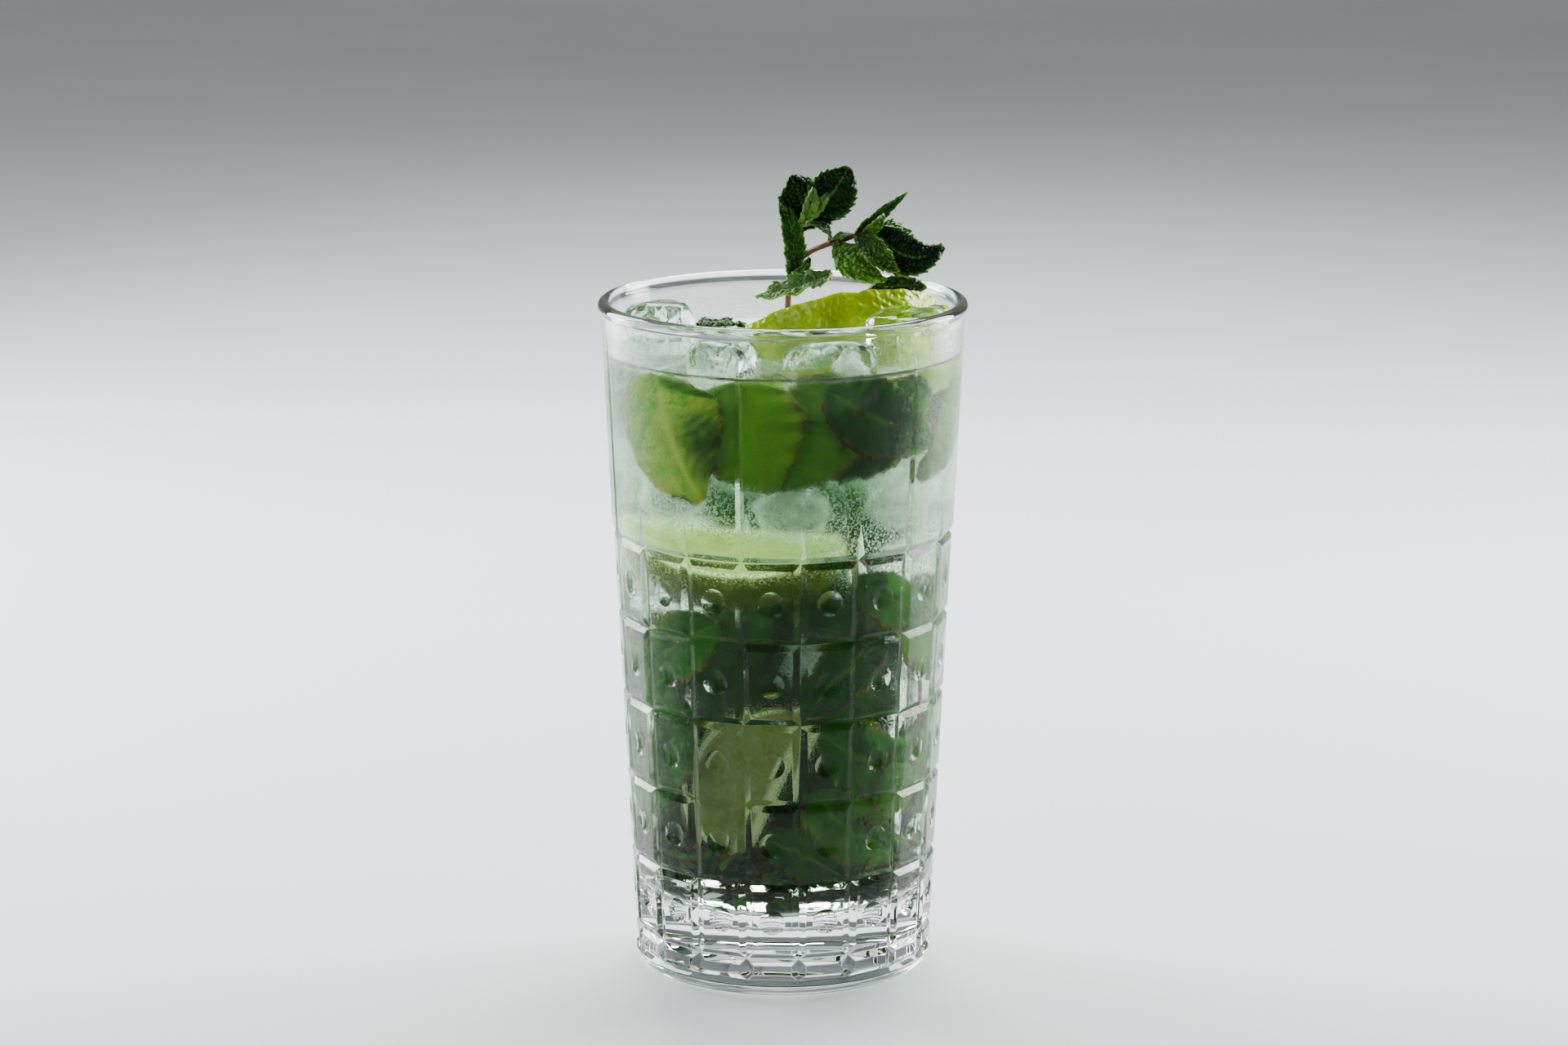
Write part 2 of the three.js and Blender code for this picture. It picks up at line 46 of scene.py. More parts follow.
# Tumbler
GLASS_HEIGHT = 157.0
FOOT_RADIUS = 34.5
MOUTH_RADIUS = 41.9
FLOOR_HEIGHT = 18.0
FLOOR_RADIUS = 29.6
BORE_RADIUS = 39.3
FLOOR_FILLET = 6.0
BEAD_RADIUS = 1.5
BEAD_PROUD = 0.5
BEAD_ARC = (-48, 186)
WALL_BELOW_BEAD = 2.6
BORE_BELOW_BEAD = 3.2
FOOT_EDGE_HEIGHT = 3.4
FOOT_EDGE_RADIUS = 3.6
RECESS_OUTLINE = ((25.0, 0.0), (24.4, 0.25), (23.4, 0.9), (22.0, 1.15), (12.0, 1.2), (0.0, 1.2))
ROUND_STEPS = 180
BORE_STEPS = 120
WALL_POINTS = 10
BORE_POINTS = 12
FILLET_POINTS = 8

# Pressed pattern
COLUMNS = 18
FIRST_GROOVE_ANGLE = 6.05
GROOVE_RINGS = (9.5, 27.5, 46.5, 65.5, 84.5, 103.4)
GROOVE_HALF_WIDTH = 1.5
GROOVE_DEPTH = 0.95
DIMPLE_RADIUS = 3.0
DIMPLE_DEPTH = 0.9
LONG_GROOVE_DEPTH = 0.62
LONG_GROOVE_TOP = 152.5
LONG_GROOVE_EVERY = 3
LONG_GROOVE_EASE = 4
LONG_GROOVE_RUN_OUT = 14
SHORT_GROOVE_TOP = 112.0
SKIRT_BOTTOM = 4.2
EDGE_SOFTNESS = 0.22

# How far the cutters reach past the surface that they cut
LENS_PROUD = 0.5
BAR_PROUD = 2.2
BAR_INTO_RING = 0.4

# Drink
DRINK_LEVEL = 144.5
MENISCUS_RISE = 1.1
MENISCUS_REACH = 6.24
MENISCUS_FALL = 7
INTO_WALL = 0.15
INTO_ICE = 0.12

# Points nearer than these are one point, or are at one height, in metres
SAME_POINT = 1e-6
SAME_HEIGHT = 1e-5


def bore_radius(z):
    share = (z - FLOOR_HEIGHT) / (GLASS_HEIGHT - FLOOR_HEIGHT)
    return FLOOR_RADIUS + (BORE_RADIUS - FLOOR_RADIUS) * share


def outer_radius(z):
    return FOOT_RADIUS + (MOUTH_RADIUS - FOOT_RADIUS) * z / GLASS_HEIGHT


def around(angle, radius, z):
    """Point at an angle round the glass in degrees, in metres."""
    turn = math.radians(angle)
    return Vector((radius * math.sin(turn), -radius * math.cos(turn), z)) * MM


# Handling of objects

def deselect():
    if bpy.context.object and bpy.context.object.mode != "OBJECT":
        bpy.ops.object.mode_set(mode="OBJECT")
    bpy.ops.object.select_all(action="DESELECT")


def activate(obj):
    deselect()
    obj.select_set(True)
    bpy.context.view_layer.objects.active = obj


def edit(obj, mode="FACE"):
    activate(obj)
    bpy.ops.object.mode_set(mode="EDIT")
    bpy.ops.mesh.select_mode(type=mode)
    bpy.ops.mesh.select_all(action="SELECT")


def pick_edges(obj, test):
    """Selects the edges of the mesh in edit mode that pass a test."""
    bpy.ops.mesh.select_all(action="DESELECT")
    shape = bmesh.from_edit_mesh(obj.data)
    for edge in shape.edges:
        if test(edge):
            edge.select_set(True)
    shape.select_flush_mode()
    bmesh.update_edit_mesh(obj.data)


def object_mode():
    bpy.ops.object.mode_set(mode="OBJECT")


def close_up(reach=SAME_POINT):
    """Merges the doubled points of the mesh in edit mode, turns its faces outwards and leaves edit mode."""
    bpy.ops.mesh.select_all(action="SELECT")
    bpy.ops.mesh.remove_doubles(threshold=reach)
    bpy.ops.mesh.normals_make_consistent(inside=False)
    object_mode()


def named(name):
    """The object that was just added, under a name."""
    obj = bpy.context.object
    obj.name = name
    obj.data.name = name
    return obj


def join(objects):
    deselect()
    for obj in objects:
        obj.select_set(True)
    bpy.context.view_layer.objects.active = objects[0]
    bpy.ops.object.join()
    return bpy.context.object


def duplicate(obj, name, matrix=Matrix.Identity(4)):
    copy = obj.copy()
    copy.data = obj.data.copy()
    copy.data.transform(matrix)
    copy.name = name
    bpy.context.scene.collection.objects.link(copy)
    return copy


def settle(obj):
    """Puts an object's place into its mesh."""
    activate(obj)
    bpy.ops.object.transform_apply(location=True, rotation=True, scale=True)


def smooth(obj, corner=None):
    """Shades an object smooth, but for edges that are sharper than a corner in degrees."""
    activate(obj)
    if corner is None:
        bpy.ops.object.shade_smooth()
    else:
        bpy.ops.object.shade_smooth_by_angle(angle=math.radians(corner))


def apply_modifier(obj, kind, **settings):
    activate(obj)
    modifier = obj.modifiers.new(kind.title(), kind)
    for key, value in settings.items():
        setattr(modifier, key, value)
    bpy.ops.object.modifier_apply(modifier=modifier.name)


def cut(obj, cutter, operation="DIFFERENCE"):
    apply_modifier(obj, "BOOLEAN", operation=operation, solver="MANIFOLD", object=cutter)
    bpy.data.objects.remove(cutter)


def roughen(obj, width, depth, middle):
    """Raises and sinks a surface in lumps of about a width, round the middle of their range."""
    lumps = bpy.data.textures.new("lumps", "CLOUDS")
    lumps.noise_scale = width * MM
    apply_modifier(
        obj, "DISPLACE", texture=lumps, texture_coords="LOCAL", strength=depth * MM, mid_level=middle,
    )


def point_values(obj, *names):
    """New numbers on the points of a mesh, one set for each name."""
    for name in names:
        obj.data.attributes.new(name, "FLOAT", "POINT")
    return [obj.data.attributes[name].data for name in names]


def spun(name, profile, steps=ROUND_STEPS):
    """Surface of revolution: a point is drawn out along [radius, z] pairs and the line is spun."""
    route = [around(FIRST_GROOVE_ANGLE, radius, z) for radius, z in profile]
    bpy.ops.mesh.primitive_plane_add(size=MM)
    obj = named(name)
    edit(obj, "VERT")
    bpy.ops.mesh.merge(type="CENTER")
    bpy.ops.transform.translate(value=route[0])
    for here, there in zip(route, route[1:]):
        bpy.ops.mesh.extrude_vertices_move(TRANSFORM_OT_translate={"value": there - here})
    bpy.ops.mesh.select_all(action="SELECT")
    bpy.ops.mesh.spin(steps=steps, angle=2 * math.pi, center=(0, 0, 0), axis=(0, 0, 1))
    close_up()
    return obj


def keep_piece(obj, name, material, slot, *nodes):
    """Finishes a piece: its material, the body that it rides on and the nodes that it stands for."""
    obj.name = name
    obj.data.name = name
    # A cut leaves empty material slots behind
    obj.data.materials.clear()
    obj.data.materials.append(material)
    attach(obj, "root")
    if nodes:
        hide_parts(*nodes)
    return obj


# Materials

GLASS_IOR = 1.5
DRINK_IOR = 1.333
ICE_IOR = 1.31
ICE_IN_DRINK_IOR = 0.985

# How misted the outside is, by its height as a share of the glass's height
MIST_BY_HEIGHT = (
    (0.14, 0.0), (0.21, 0.05), (0.36, 0.10), (0.56, 0.16),
    (0.70, 0.21), (0.90, 0.19), (0.95, 0.12), (0.985, 0.0),
)
MIST_UNEVENNESS = 0.09
GLOSS_BY_MIST = ((0.0, 1.0), (0.06, 0.55), (0.22, 0.35))

# Rind and flesh of the lime, from their darkest to their palest
RIND_COLOURS = ((0.22, 0.38, 0.006), (0.42, 0.60, 0.010), (0.62, 0.78, 0.03))
FLESH_COLOURS = ((0.42, 0.50, 0.10), (0.66, 0.70, 0.24), (0.84, 0.86, 0.46))
PITH_COLOUR = (0.90, 0.91, 0.60)
PITH_OVER_FLESH = 2.2

# Mint, from its darkest green to its palest
FRESH_GREENS = ((0.004, 0.026, 0.003), (0.018, 0.092, 0.006), (0.16, 0.36, 0.045))
SUNK_GREENS = ((0.004, 0.040, 0.002), (0.018, 0.110, 0.004), (0.11, 0.22, 0.018))
FRESH_VEINS = (0.34, 0.50, 0.24)
BROWNED_EDGE = (0.10, 0.035, 0.006)
STEM_COLOURS = ((0.35, (0.14, 0.045, 0.035)), (0.55, (0.20, 0.09, 0.05)), (0.72, (0.20, 0.28, 0.06)))


class Shader:
    """A material's node tree, with short ways to add and link nodes."""

    COLOUR_MIX_INPUTS = (0, 6, 7)
    COLOUR_MIX_OUTPUT = 2

    def __init__(self, name):
        self.material = bpy.data.materials.new(name)
        self.material.use_nodes = True
        self.nodes = self.material.node_tree.nodes
        self.links = self.material.node_tree.links
        self.surface = self.nodes["Principled BSDF"]
        self.output = self.nodes["Material Output"]

    def add(self, kind, **settings):
        node = self.nodes.new(kind)
        for key, value in settings.items():
            if hasattr(node, key):
                setattr(node, key, value)
            else:
                node.inputs[key].default_value = value
        return node

    def link(self, start, end):
        self.links.new(start, end)

    def give(self, socket, value):
        """Sets a socket to a number, a colour or a vector, or links a node's output to it."""
        if isinstance(value, tuple):
            socket.default_value = (*value, 1)[:len(socket.default_value)]
        elif isinstance(value, (int, float)):
            socket.default_value = value
        else:
            self.link(value, socket)

    def set(self, **values):
        for key, value in values.items():
            self.give(self.surface.inputs[key.replace("_", " ")], value)

    def place(self):
        """Where a point of the surface lies, in metres."""
        return self.add("ShaderNodeTexCoord").outputs["Object"]

    def height(self):
        """Height above the table as a share of the glass's height."""
        split = self.add("ShaderNodeSeparateXYZ")
        self.link(self.place(), split.inputs["Vector"])
        return self.math("DIVIDE", split.outputs["Z"], GLASS_HEIGHT * MM)

    def attribute(self, name):
        """The numbers that a mesh holds on its points under a name."""
        return self.add("ShaderNodeAttribute", attribute_name=name).outputs["Fac"]

    def noise(self, scale, detail=4.0, rough=0.5, distortion=0.0):
        node = self.add(
            "ShaderNodeTexNoise", Scale=scale, Detail=detail, Roughness=rough, Distortion=distortion,
        )
        self.link(self.place(), node.inputs["Vector"])
        return node.outputs["Fac"]

    def ramp(self, value, stops):
        node = self.add("ShaderNodeValToRGB")
        elements = node.color_ramp.elements
        while len(elements) < len(stops):
            elements.new(0.5)
        for element, (place, colour) in zip(elements, stops):
            element.position = place
            element.color = (*colour, 1)
        self.link(value, node.inputs["Fac"])
        return node.outputs["Color"]

    def steps(self, value, stops):
        """A ramp of plain numbers."""
        return self.ramp(value, [(place, (amount,) * 3) for place, amount in stops])

    def mix(self, share, first, second):
        node = self.add("ShaderNodeMix", data_type="RGBA")
        for number, value in zip(self.COLOUR_MIX_INPUTS, (share, first, second)):
            self.give(node.inputs[number], value)
        return node.outputs[self.COLOUR_MIX_OUTPUT]

    def math(self, operation, first, second, clamp=False):
        node = self.add("ShaderNodeMath", operation=operation, use_clamp=clamp)
        for socket, value in zip(node.inputs, (first, second)):
            self.give(socket, value)
        return node.outputs["Value"]

    def plus(self, first, second):
        return self.math("ADD", first, second)

    def minus(self, first, second):
        return self.math("SUBTRACT", first, second)

    def times(self, first, second):
        return self.math("MULTIPLY", first, second)

    def bump(self, height, strength, distance, onto=None):
        """A relief as high as its distance in metres, on the plain surface or onto another relief."""
        node = self.add("ShaderNodeBump", Strength=strength, Distance=distance)
        self.link(height, node.inputs["Height"])
        if onto is not None:
            self.link(onto, node.inputs["Normal"])
        return node.outputs["Normal"]

    def lets_light_in(self, tint):
        """Lets the lamps' light through to what lies behind the surface."""
        path = self.add("ShaderNodeLightPath")
        clear = self.add("ShaderNodeBsdfTransparent", Color=(*tint, 1))
        mixer = self.add("ShaderNodeMixShader")
        self.link(path.outputs["Is Shadow Ray"], mixer.inputs["Fac"])
        self.link(self.surface.outputs["BSDF"], mixer.inputs[1])
        self.link(clear.outputs["BSDF"], mixer.inputs[2])
        self.link(mixer.outputs["Shader"], self.output.inputs["Surface"])


def pressed_glass():
    """Clear glass whose outside is misted from the drink's level down, most in its upper half."""
    shader = Shader("pressed_glass")
    height = shader.height()
    outside = shader.attribute("outside")
    uneven = shader.times(shader.minus(shader.noise(38.0, 3.0, 0.55), 0.5), MIST_UNEVENNESS)
    mist = shader.times(outside, shader.steps(shader.plus(height, uneven), MIST_BY_HEIGHT))
    under_drink = shader.math("LESS_THAN", height, DRINK_LEVEL / GLASS_HEIGHT)
    dry = shader.minus(1.0, shader.times(shader.minus(1.0, outside), under_drink))
    glossy = shader.times(dry, shader.steps(mist, GLOSS_BY_MIST))
    beads = shader.steps(shader.noise(2100.0, 3.0, 0.65), [(0.52, 0.0), (0.68, 1.0)])
    relief = shader.times(beads, shader.math("MULTIPLY", mist, 4.0, clamp=True))
    waviness = shader.bump(shader.noise(60.0, 2.0), 0.05, 0.001)
    shader.set(
        Base_Color=(0.94, 0.98, 0.955),
        Roughness=mist,
        IOR=GLASS_IOR,
        Transmission_Weight=1.0,
        Specular_Tint=shader.steps(glossy, [(0.0, 0.08), (1.0, 1.0)]),
        Normal=shader.bump(relief, 0.6, 0.0001, onto=waviness),
    )
    shader.lets_light_in((0.80, 0.84, 0.82))
    return shader.material


def drink_liquid():
    """Soda, rum and lime juice: clear with a faint green cast, a little uneven, and glossy on top only."""
    shader = Shader("drink_liquid")
    open_top = shader.math("GREATER_THAN", shader.height(), (DRINK_LEVEL - 0.2) / GLASS_HEIGHT)
    shader.set(
        Base_Color=(0.975, 0.985, 0.945),
        Roughness=0.0,
        IOR=DRINK_IOR,
        Transmission_Weight=1.0,
        Specular_Tint=shader.steps(open_top, [(0.0, 0.05), (1.0, 1.0)]),
        Normal=shader.bump(shader.noise(90.0, 2.0), 0.12, 0.0008),
    )
    volume = shader.add("ShaderNodeVolumeAbsorption", Color=(0.70, 0.92, 0.66, 1), Density=14.0)
    shader.link(volume.outputs["Volume"], shader.output.inputs["Volume"])
    shader.lets_light_in((0.78, 0.86, 0.72))
    return shader.material


def wet_ice(name, ior):
    """Ice: clear, with a wavy melted face."""
    shader = Shader(name)
    shader.set(
        Base_Color=(0.97, 0.99, 1.0),
        Roughness=shader.steps(shader.noise(70.0, 2.0), [(0.45, 0.0), (0.7, 0.06)]),
        IOR=ior,
        Transmission_Weight=1.0,
        Normal=shader.bump(shader.noise(120.0, 3.0, 0.5, 0.4), 0.35, 0.0012),
    )
    shader.lets_light_in((0.90, 0.93, 0.94))
    return shader.material


def cloudy_core():
    """The cloud of fine bubbles in the middle of a cube."""
    shader = Shader("ice_cloud")
    blur = shader.noise(260.0, 5.0, 0.65)
    shader.set(
        Base_Color=(0.86, 0.92, 0.93),
        Roughness=0.6,
        Alpha=shader.steps(blur, [(0.3, 0.06), (0.7, 0.42)]),
        Normal=shader.bump(blur, 0.6, 0.0006),
    )
    return shader.material


def scaled(colour, share):
    return tuple(share * part for part in colour)


def shades(colours, share):
    """Ramp stops from dark to pale, each colour times a share."""
    return [(stop, scaled(colour, share)) for stop, colour in zip((0.3, 0.5, 0.72), colours)]


def lime_skin_and_flesh(name, skin=1.0, flesh=1.0, wet=False):
    """Glossy pored rind outside, and inside it white pith and then pale juicy flesh with long cells."""
    shader = Shader(name)
    depth = shader.attribute("under_rind")
    core = shader.attribute("near_core")
    # skin and flesh scale the rind, pith and flesh colours down, which paints shade on the sunk wedges
    rind = shader.ramp(shader.noise(55.0, 4.0, 0.6), shades(RIND_COLOURS, skin))
    pulp = shader.ramp(shader.noise(300.0, 3.0, 0.6, 1.2), shades(FLESH_COLOURS, flesh))
    pith = scaled(PITH_COLOUR, min(1.0, PITH_OVER_FLESH * flesh))
    ringed = shader.mix(shader.steps(depth, [(0.16, 0.0), (0.22, 1.0)]), pith, pulp)
    under = shader.mix(shader.steps(core, [(0.35, 0.0), (0.6, 0.9)]), ringed, pith)
    colour = shader.mix(shader.steps(depth, [(0.02, 0.0), (0.06, 1.0)]), rind, under)
    oil_cells = shader.add("ShaderNodeTexVoronoi", feature="SMOOTH_F1", Scale=800.0)
    shader.link(shader.place(), oil_cells.inputs["Vector"])
    on_rind = shader.steps(depth, [(0.0, 1.0), (0.03, 0.0)])
    dimpled = shader.bump(shader.times(oil_cells.outputs["Distance"], on_rind), 0.9, 0.0006)
    shader.set(
        Base_Color=colour,
        Roughness=shader.steps(shader.noise(300.0), [(0.35, 0.18), (0.65, 0.32)]),
        Subsurface_Weight=0.1,
        Subsurface_Radius=(0.7, 1.0, 0.2),
        Subsurface_Scale=0.0025,
        Coat_Weight=0.0 if wet else 0.3,
        Specular_IOR_Level=0.05 if wet else 0.5,
        Normal=shader.bump(shader.noise(1400.0, 3.0, 0.6), 0.3, 0.0002, onto=dimpled),
    )
    return shader.material


def mint(name, greens, wet=False):
    """Puckered mint leaf: deep green between paler veins, with painted shade in the creases of the upper
    side, and a pale edge, or a browned one when wet.
    """
    shader = Shader(name)
    dark, middle, light = greens
    veins, creases, edge, tone = (shader.attribute(key) for key in ("vein", "crease", "edge", "tone"))
    patches = shader.times(shader.minus(shader.noise(160.0, 4.0, 0.6), 0.5), 0.6)
    # The tone, with random patches, picks the green, so this green partly holds painted light and shade
    green = shader.ramp(shader.plus(tone, patches), [(0.05, dark), (0.4, middle), (1.0, light)])
    # Painted shade: the creases between the quilting are darkened towards the darkest green
    crease_shaded = shader.mix(shader.times(creases, 0.35 if wet else 0.65), green, dark)
    veined = shader.mix(shader.times(veins, 0.6 if wet else 0.8), crease_shaded, light if wet else FRESH_VEINS)
    if wet:
        browned = shader.times(edge, shader.steps(shader.noise(70.0), [(0.38, 0.15), (0.54, 0.85)]))
        colour = shader.mix(browned, veined, BROWNED_EDGE)
    else:
        colour = shader.mix(shader.times(edge, 0.5), veined, light)
    fine = shader.noise(900.0, 3.0, 0.6)
    ribbed = shader.bump(shader.minus(veins, creases), 0.5, 0.0005)
    shader.set(
        Base_Color=colour,
        Roughness=shader.steps(fine, [(0.3, 0.38), (0.7, 0.55)]),
        Subsurface_Weight=0.12,
        Subsurface_Radius=(0.4, 1.0, 0.15),
        Subsurface_Scale=0.0015,
        Sheen_Weight=0.0 if wet else 0.08,
        Specular_IOR_Level=0.04 if wet else 0.5,
        Normal=shader.bump(fine, 0.25, 0.0003, onto=ribbed),
    )
    return shader.material


def stem_skin():
    """Young mint stem, brown-purple with green patches."""
    shader = Shader("mint_stem")
    shader.set(
        Base_Color=shader.ramp(shader.noise(140.0, 3.0, 0.5), STEM_COLOURS),
        Roughness=0.4,
        Normal=shader.bump(shader.noise(700.0), 0.3, 0.0003),
    )
    return shader.material


def pale_floor():
    """Pale, faintly mottled surface under and behind the glass."""
    shader = Shader("pale_floor")
    mottle = shader.noise(3.0, 3.0)
    shader.set(
        Base_Color=shader.ramp(mottle, [(0.3, (0.60, 0.62, 0.64)), (0.7, (0.64, 0.66, 0.68))]),
        Roughness=0.55,
        Normal=shader.bump(shader.noise(400.0), 0.05, 0.0005),
    )
    return shader.material


# Tumbler

def lies_at(edge, z):
    """Whether an edge lies level at a height."""
    return all(abs(v.co.z - z * MM) < SAME_HEIGHT for v in edge.verts)


def panel_shell():
    """Eighteen flat-sided columns cut into rows, each cell raised to a bevelled panel."""
    low, high = GROOVE_RINGS[0], GROOVE_RINGS[-1]
    bpy.ops.mesh.primitive_cone_add(
        vertices=COLUMNS,
        radius1=(outer_radius(low) - GROOVE_DEPTH) * MM,
        radius2=(outer_radius(high) - GROOVE_DEPTH) * MM,
        depth=(high - low) * MM,
        end_fill_type="NOTHING",
        location=(0, 0, (low + high) / 2 * MM),
    )
    shell = named("panel_shell")
    settle(shell)
    first = min(shell.data.vertices, key=lambda v: (round(v.co.z, 5), abs(math.atan2(v.co.x, -v.co.y))))
    angle_now = math.atan2(first.co.x, -first.co.y)
    shell.data.transform(Matrix.Rotation(math.radians(FIRST_GROOVE_ANGLE) - angle_now, 4, "Z"))
    edit(shell)
    for z in GROOVE_RINGS[1:-1]:
        bpy.ops.mesh.select_all(action="SELECT")
        bpy.ops.mesh.bisect(plane_co=(0, 0, z * MM), plane_no=(0, 0, 1))
    bpy.ops.mesh.select_mode(type="EDGE")
    pick_edges(shell, lambda e: lies_at(e, low))
    shrink = (outer_radius(SKIRT_BOTTOM) - GROOVE_DEPTH) / (outer_radius(low) - GROOVE_DEPTH)
    bpy.ops.mesh.extrude_edges_move(TRANSFORM_OT_translate={"value": (0, 0, (SKIRT_BOTTOM - low) * MM)})
    bpy.ops.transform.resize(value=(shrink, shrink, 1), center_override=(0, 0, SKIRT_BOTTOM * MM))
    bpy.ops.mesh.select_mode(type="FACE")
    bpy.ops.mesh.select_all(action="SELECT")
    bpy.ops.mesh.normals_make_consistent(inside=False)
    bpy.ops.mesh.inset(
        thickness=GROOVE_HALF_WIDTH * MM,
        depth=GROOVE_DEPTH * MM,
        use_individual=True,
        use_boundary=True,
    )
    bpy.ops.mesh.select_mode(type="EDGE")
    for z in (SKIRT_BOTTOM, high):
        pick_edges(shell, lambda e: e.is_boundary and lies_at(e, z))
        bpy.ops.mesh.subdivide(number_cuts=ROUND_STEPS // COLUMNS - 1)
    object_mode()
    return shell


def arc(centre, radius, start, stop, count):
    """Points on an arc, as [radius, z] pairs, with angles in degrees."""
    turns = [math.radians(start + (stop - start) * i / (count - 1)) for i in range(count)]
    return [(centre[0] + radius * math.cos(t), centre[1] + radius * math.sin(t)) for t in turns]


def upper_profile():
    """From the top ring up the outside, over the rim bead and down the bore to the floor's middle."""
    start = GROOVE_RINGS[-1] + GROOVE_HALF_WIDTH
    bead = (MOUTH_RADIUS + BEAD_PROUD - BEAD_RADIUS, GLASS_HEIGHT - BEAD_RADIUS)
    wall = [(outer_radius(z), z) for z in np.linspace(start, bead[1] - WALL_BELOW_BEAD, WALL_POINTS)]
    bore_ends = (bead[1] - BORE_BELOW_BEAD, FLOOR_HEIGHT + FLOOR_FILLET)
    inner = [(bore_radius(z), z) for z in np.linspace(*bore_ends, BORE_POINTS)]
    corner = (inner[-1][0] - FLOOR_FILLET, FLOOR_HEIGHT + FLOOR_FILLET)
    fillet = arc(corner, FLOOR_FILLET, 0, -90, FILLET_POINTS)[1:]
    floor = [(fillet[-1][0] * share, FLOOR_HEIGHT) for share in (0.75, 0.5, 0.25, 0.0)]
    return wall + arc(bead, BEAD_RADIUS, *BEAD_ARC, 18) + inner + fillet + floor


def foot_profile():
    """From the skirt round the foot's edge, across the resting ring and the recess to the middle."""
    corner = (outer_radius(FOOT_EDGE_HEIGHT) - FOOT_EDGE_RADIUS, FOOT_EDGE_RADIUS)
    return arc(corner, FOOT_EDGE_RADIUS, -6, -90, FILLET_POINTS) + list(RECESS_OUTLINE)


def dimple_cutters():
    """One lens-shaped cutter for each panel, on the panel's own plane."""
    ball = (DIMPLE_RADIUS ** 2 + DIMPLE_DEPTH ** 2) / (2 * DIMPLE_DEPTH)
    bpy.ops.mesh.primitive_uv_sphere_add(segments=36, ring_count=40, radius=ball * MM)
    lens = named("dimple_cutter")
    edit(lens)
    cap = (DIMPLE_DEPTH + LENS_PROUD - ball) * MM
    bpy.ops.mesh.bisect(plane_co=(0, 0, cap), plane_no=(0, 0, 1), use_fill=True, clear_outer=True)
    object_mode()
    lens.data.transform(Matrix.Translation((0, 0, (ball - DIMPLE_DEPTH) * MM)))
    slope = math.atan((MOUTH_RADIUS - FOOT_RADIUS) / GLASS_HEIGHT)
    copies = []
    for low, high in zip(GROOVE_RINGS, GROOVE_RINGS[1:]):
        z = (low + high) / 2
        face = outer_radius(z) - GROOVE_DEPTH
        flat = face * math.cos(math.pi / COLUMNS) + GROOVE_DEPTH
        for column in range(COLUMNS):
            angle = FIRST_GROOVE_ANGLE + (column + 0.5) * 360 / COLUMNS
            turn = Matrix.Rotation(math.radians(angle), 4, "Z")
            lean = Matrix.Rotation(math.pi / 2 + slope, 4, "X")
            place = Matrix.Translation(around(angle, flat, z)) @ turn @ lean
            copies.append(duplicate(lens, "dimple_copy", place))
    bpy.data.objects.remove(lens)
    return join(copies)


def groove_bar(name, stations):
    """A bar of V-shaped section up the front of the wall, as deep at each height as its stations say."""
    z, depth = stations[0]
    back = outer_radius(z) + BAR_PROUD
    half_width = GROOVE_HALF_WIDTH * (depth + BAR_PROUD) / GROOVE_DEPTH
    bpy.ops.mesh.primitive_circle_add(vertices=3, radius=MM, fill_type="NGON")
    bar = named(name)
    section = ((0, outer_radius(z) - depth), (half_width, back), (-half_width, back))
    for vertex, (across, radius) in zip(bar.data.vertices, section):
        vertex.co = Vector((across, -radius, z)) * MM
    edit(bar)
    for (z, depth), (next_z, next_depth) in zip(stations, stations[1:]):
        share = (next_depth + BAR_PROUD) / (depth + BAR_PROUD)
        middle = around(0, outer_radius(z) + BAR_PROUD, next_z)
        outwards = around(0, outer_radius(next_z) - outer_radius(z), 0)
        bpy.ops.mesh.extrude_region_move(TRANSFORM_OT_translate={"value": (0, 0, (next_z - z) * MM)})
        bpy.ops.transform.resize(value=(share, share, 1), center_override=middle)
        bpy.ops.transform.translate(value=outwards)
    close_up()
    return bar


def groove_cutters():
    """Bars round the wall: every third runs up to the rim, and the others run out above the top ring."""
    bottom = GROOVE_RINGS[-1] - BAR_INTO_RING
    long_bar = groove_bar("long_groove_bar", (
        (bottom, GROOVE_DEPTH),
        (bottom + LONG_GROOVE_EASE, LONG_GROOVE_DEPTH),
        (LONG_GROOVE_TOP - LONG_GROOVE_RUN_OUT, LONG_GROOVE_DEPTH),
        (LONG_GROOVE_TOP, -0.02),
    ))
    short_bar = groove_bar("short_groove_bar", ((bottom, GROOVE_DEPTH), (SHORT_GROOVE_TOP, 0.0)))
    bars = []
    for column in range(COLUMNS):
        pattern = long_bar if column % LONG_GROOVE_EVERY == LONG_GROOVE_EVERY - 1 else short_bar
        angle = FIRST_GROOVE_ANGLE + column * 360 / COLUMNS
        bars.append(duplicate(pattern, "groove_bar", Matrix.Rotation(math.radians(angle), 4, "Z")))
    for pattern in (long_bar, short_bar):
        bpy.data.objects.remove(pattern)
    return join(bars)


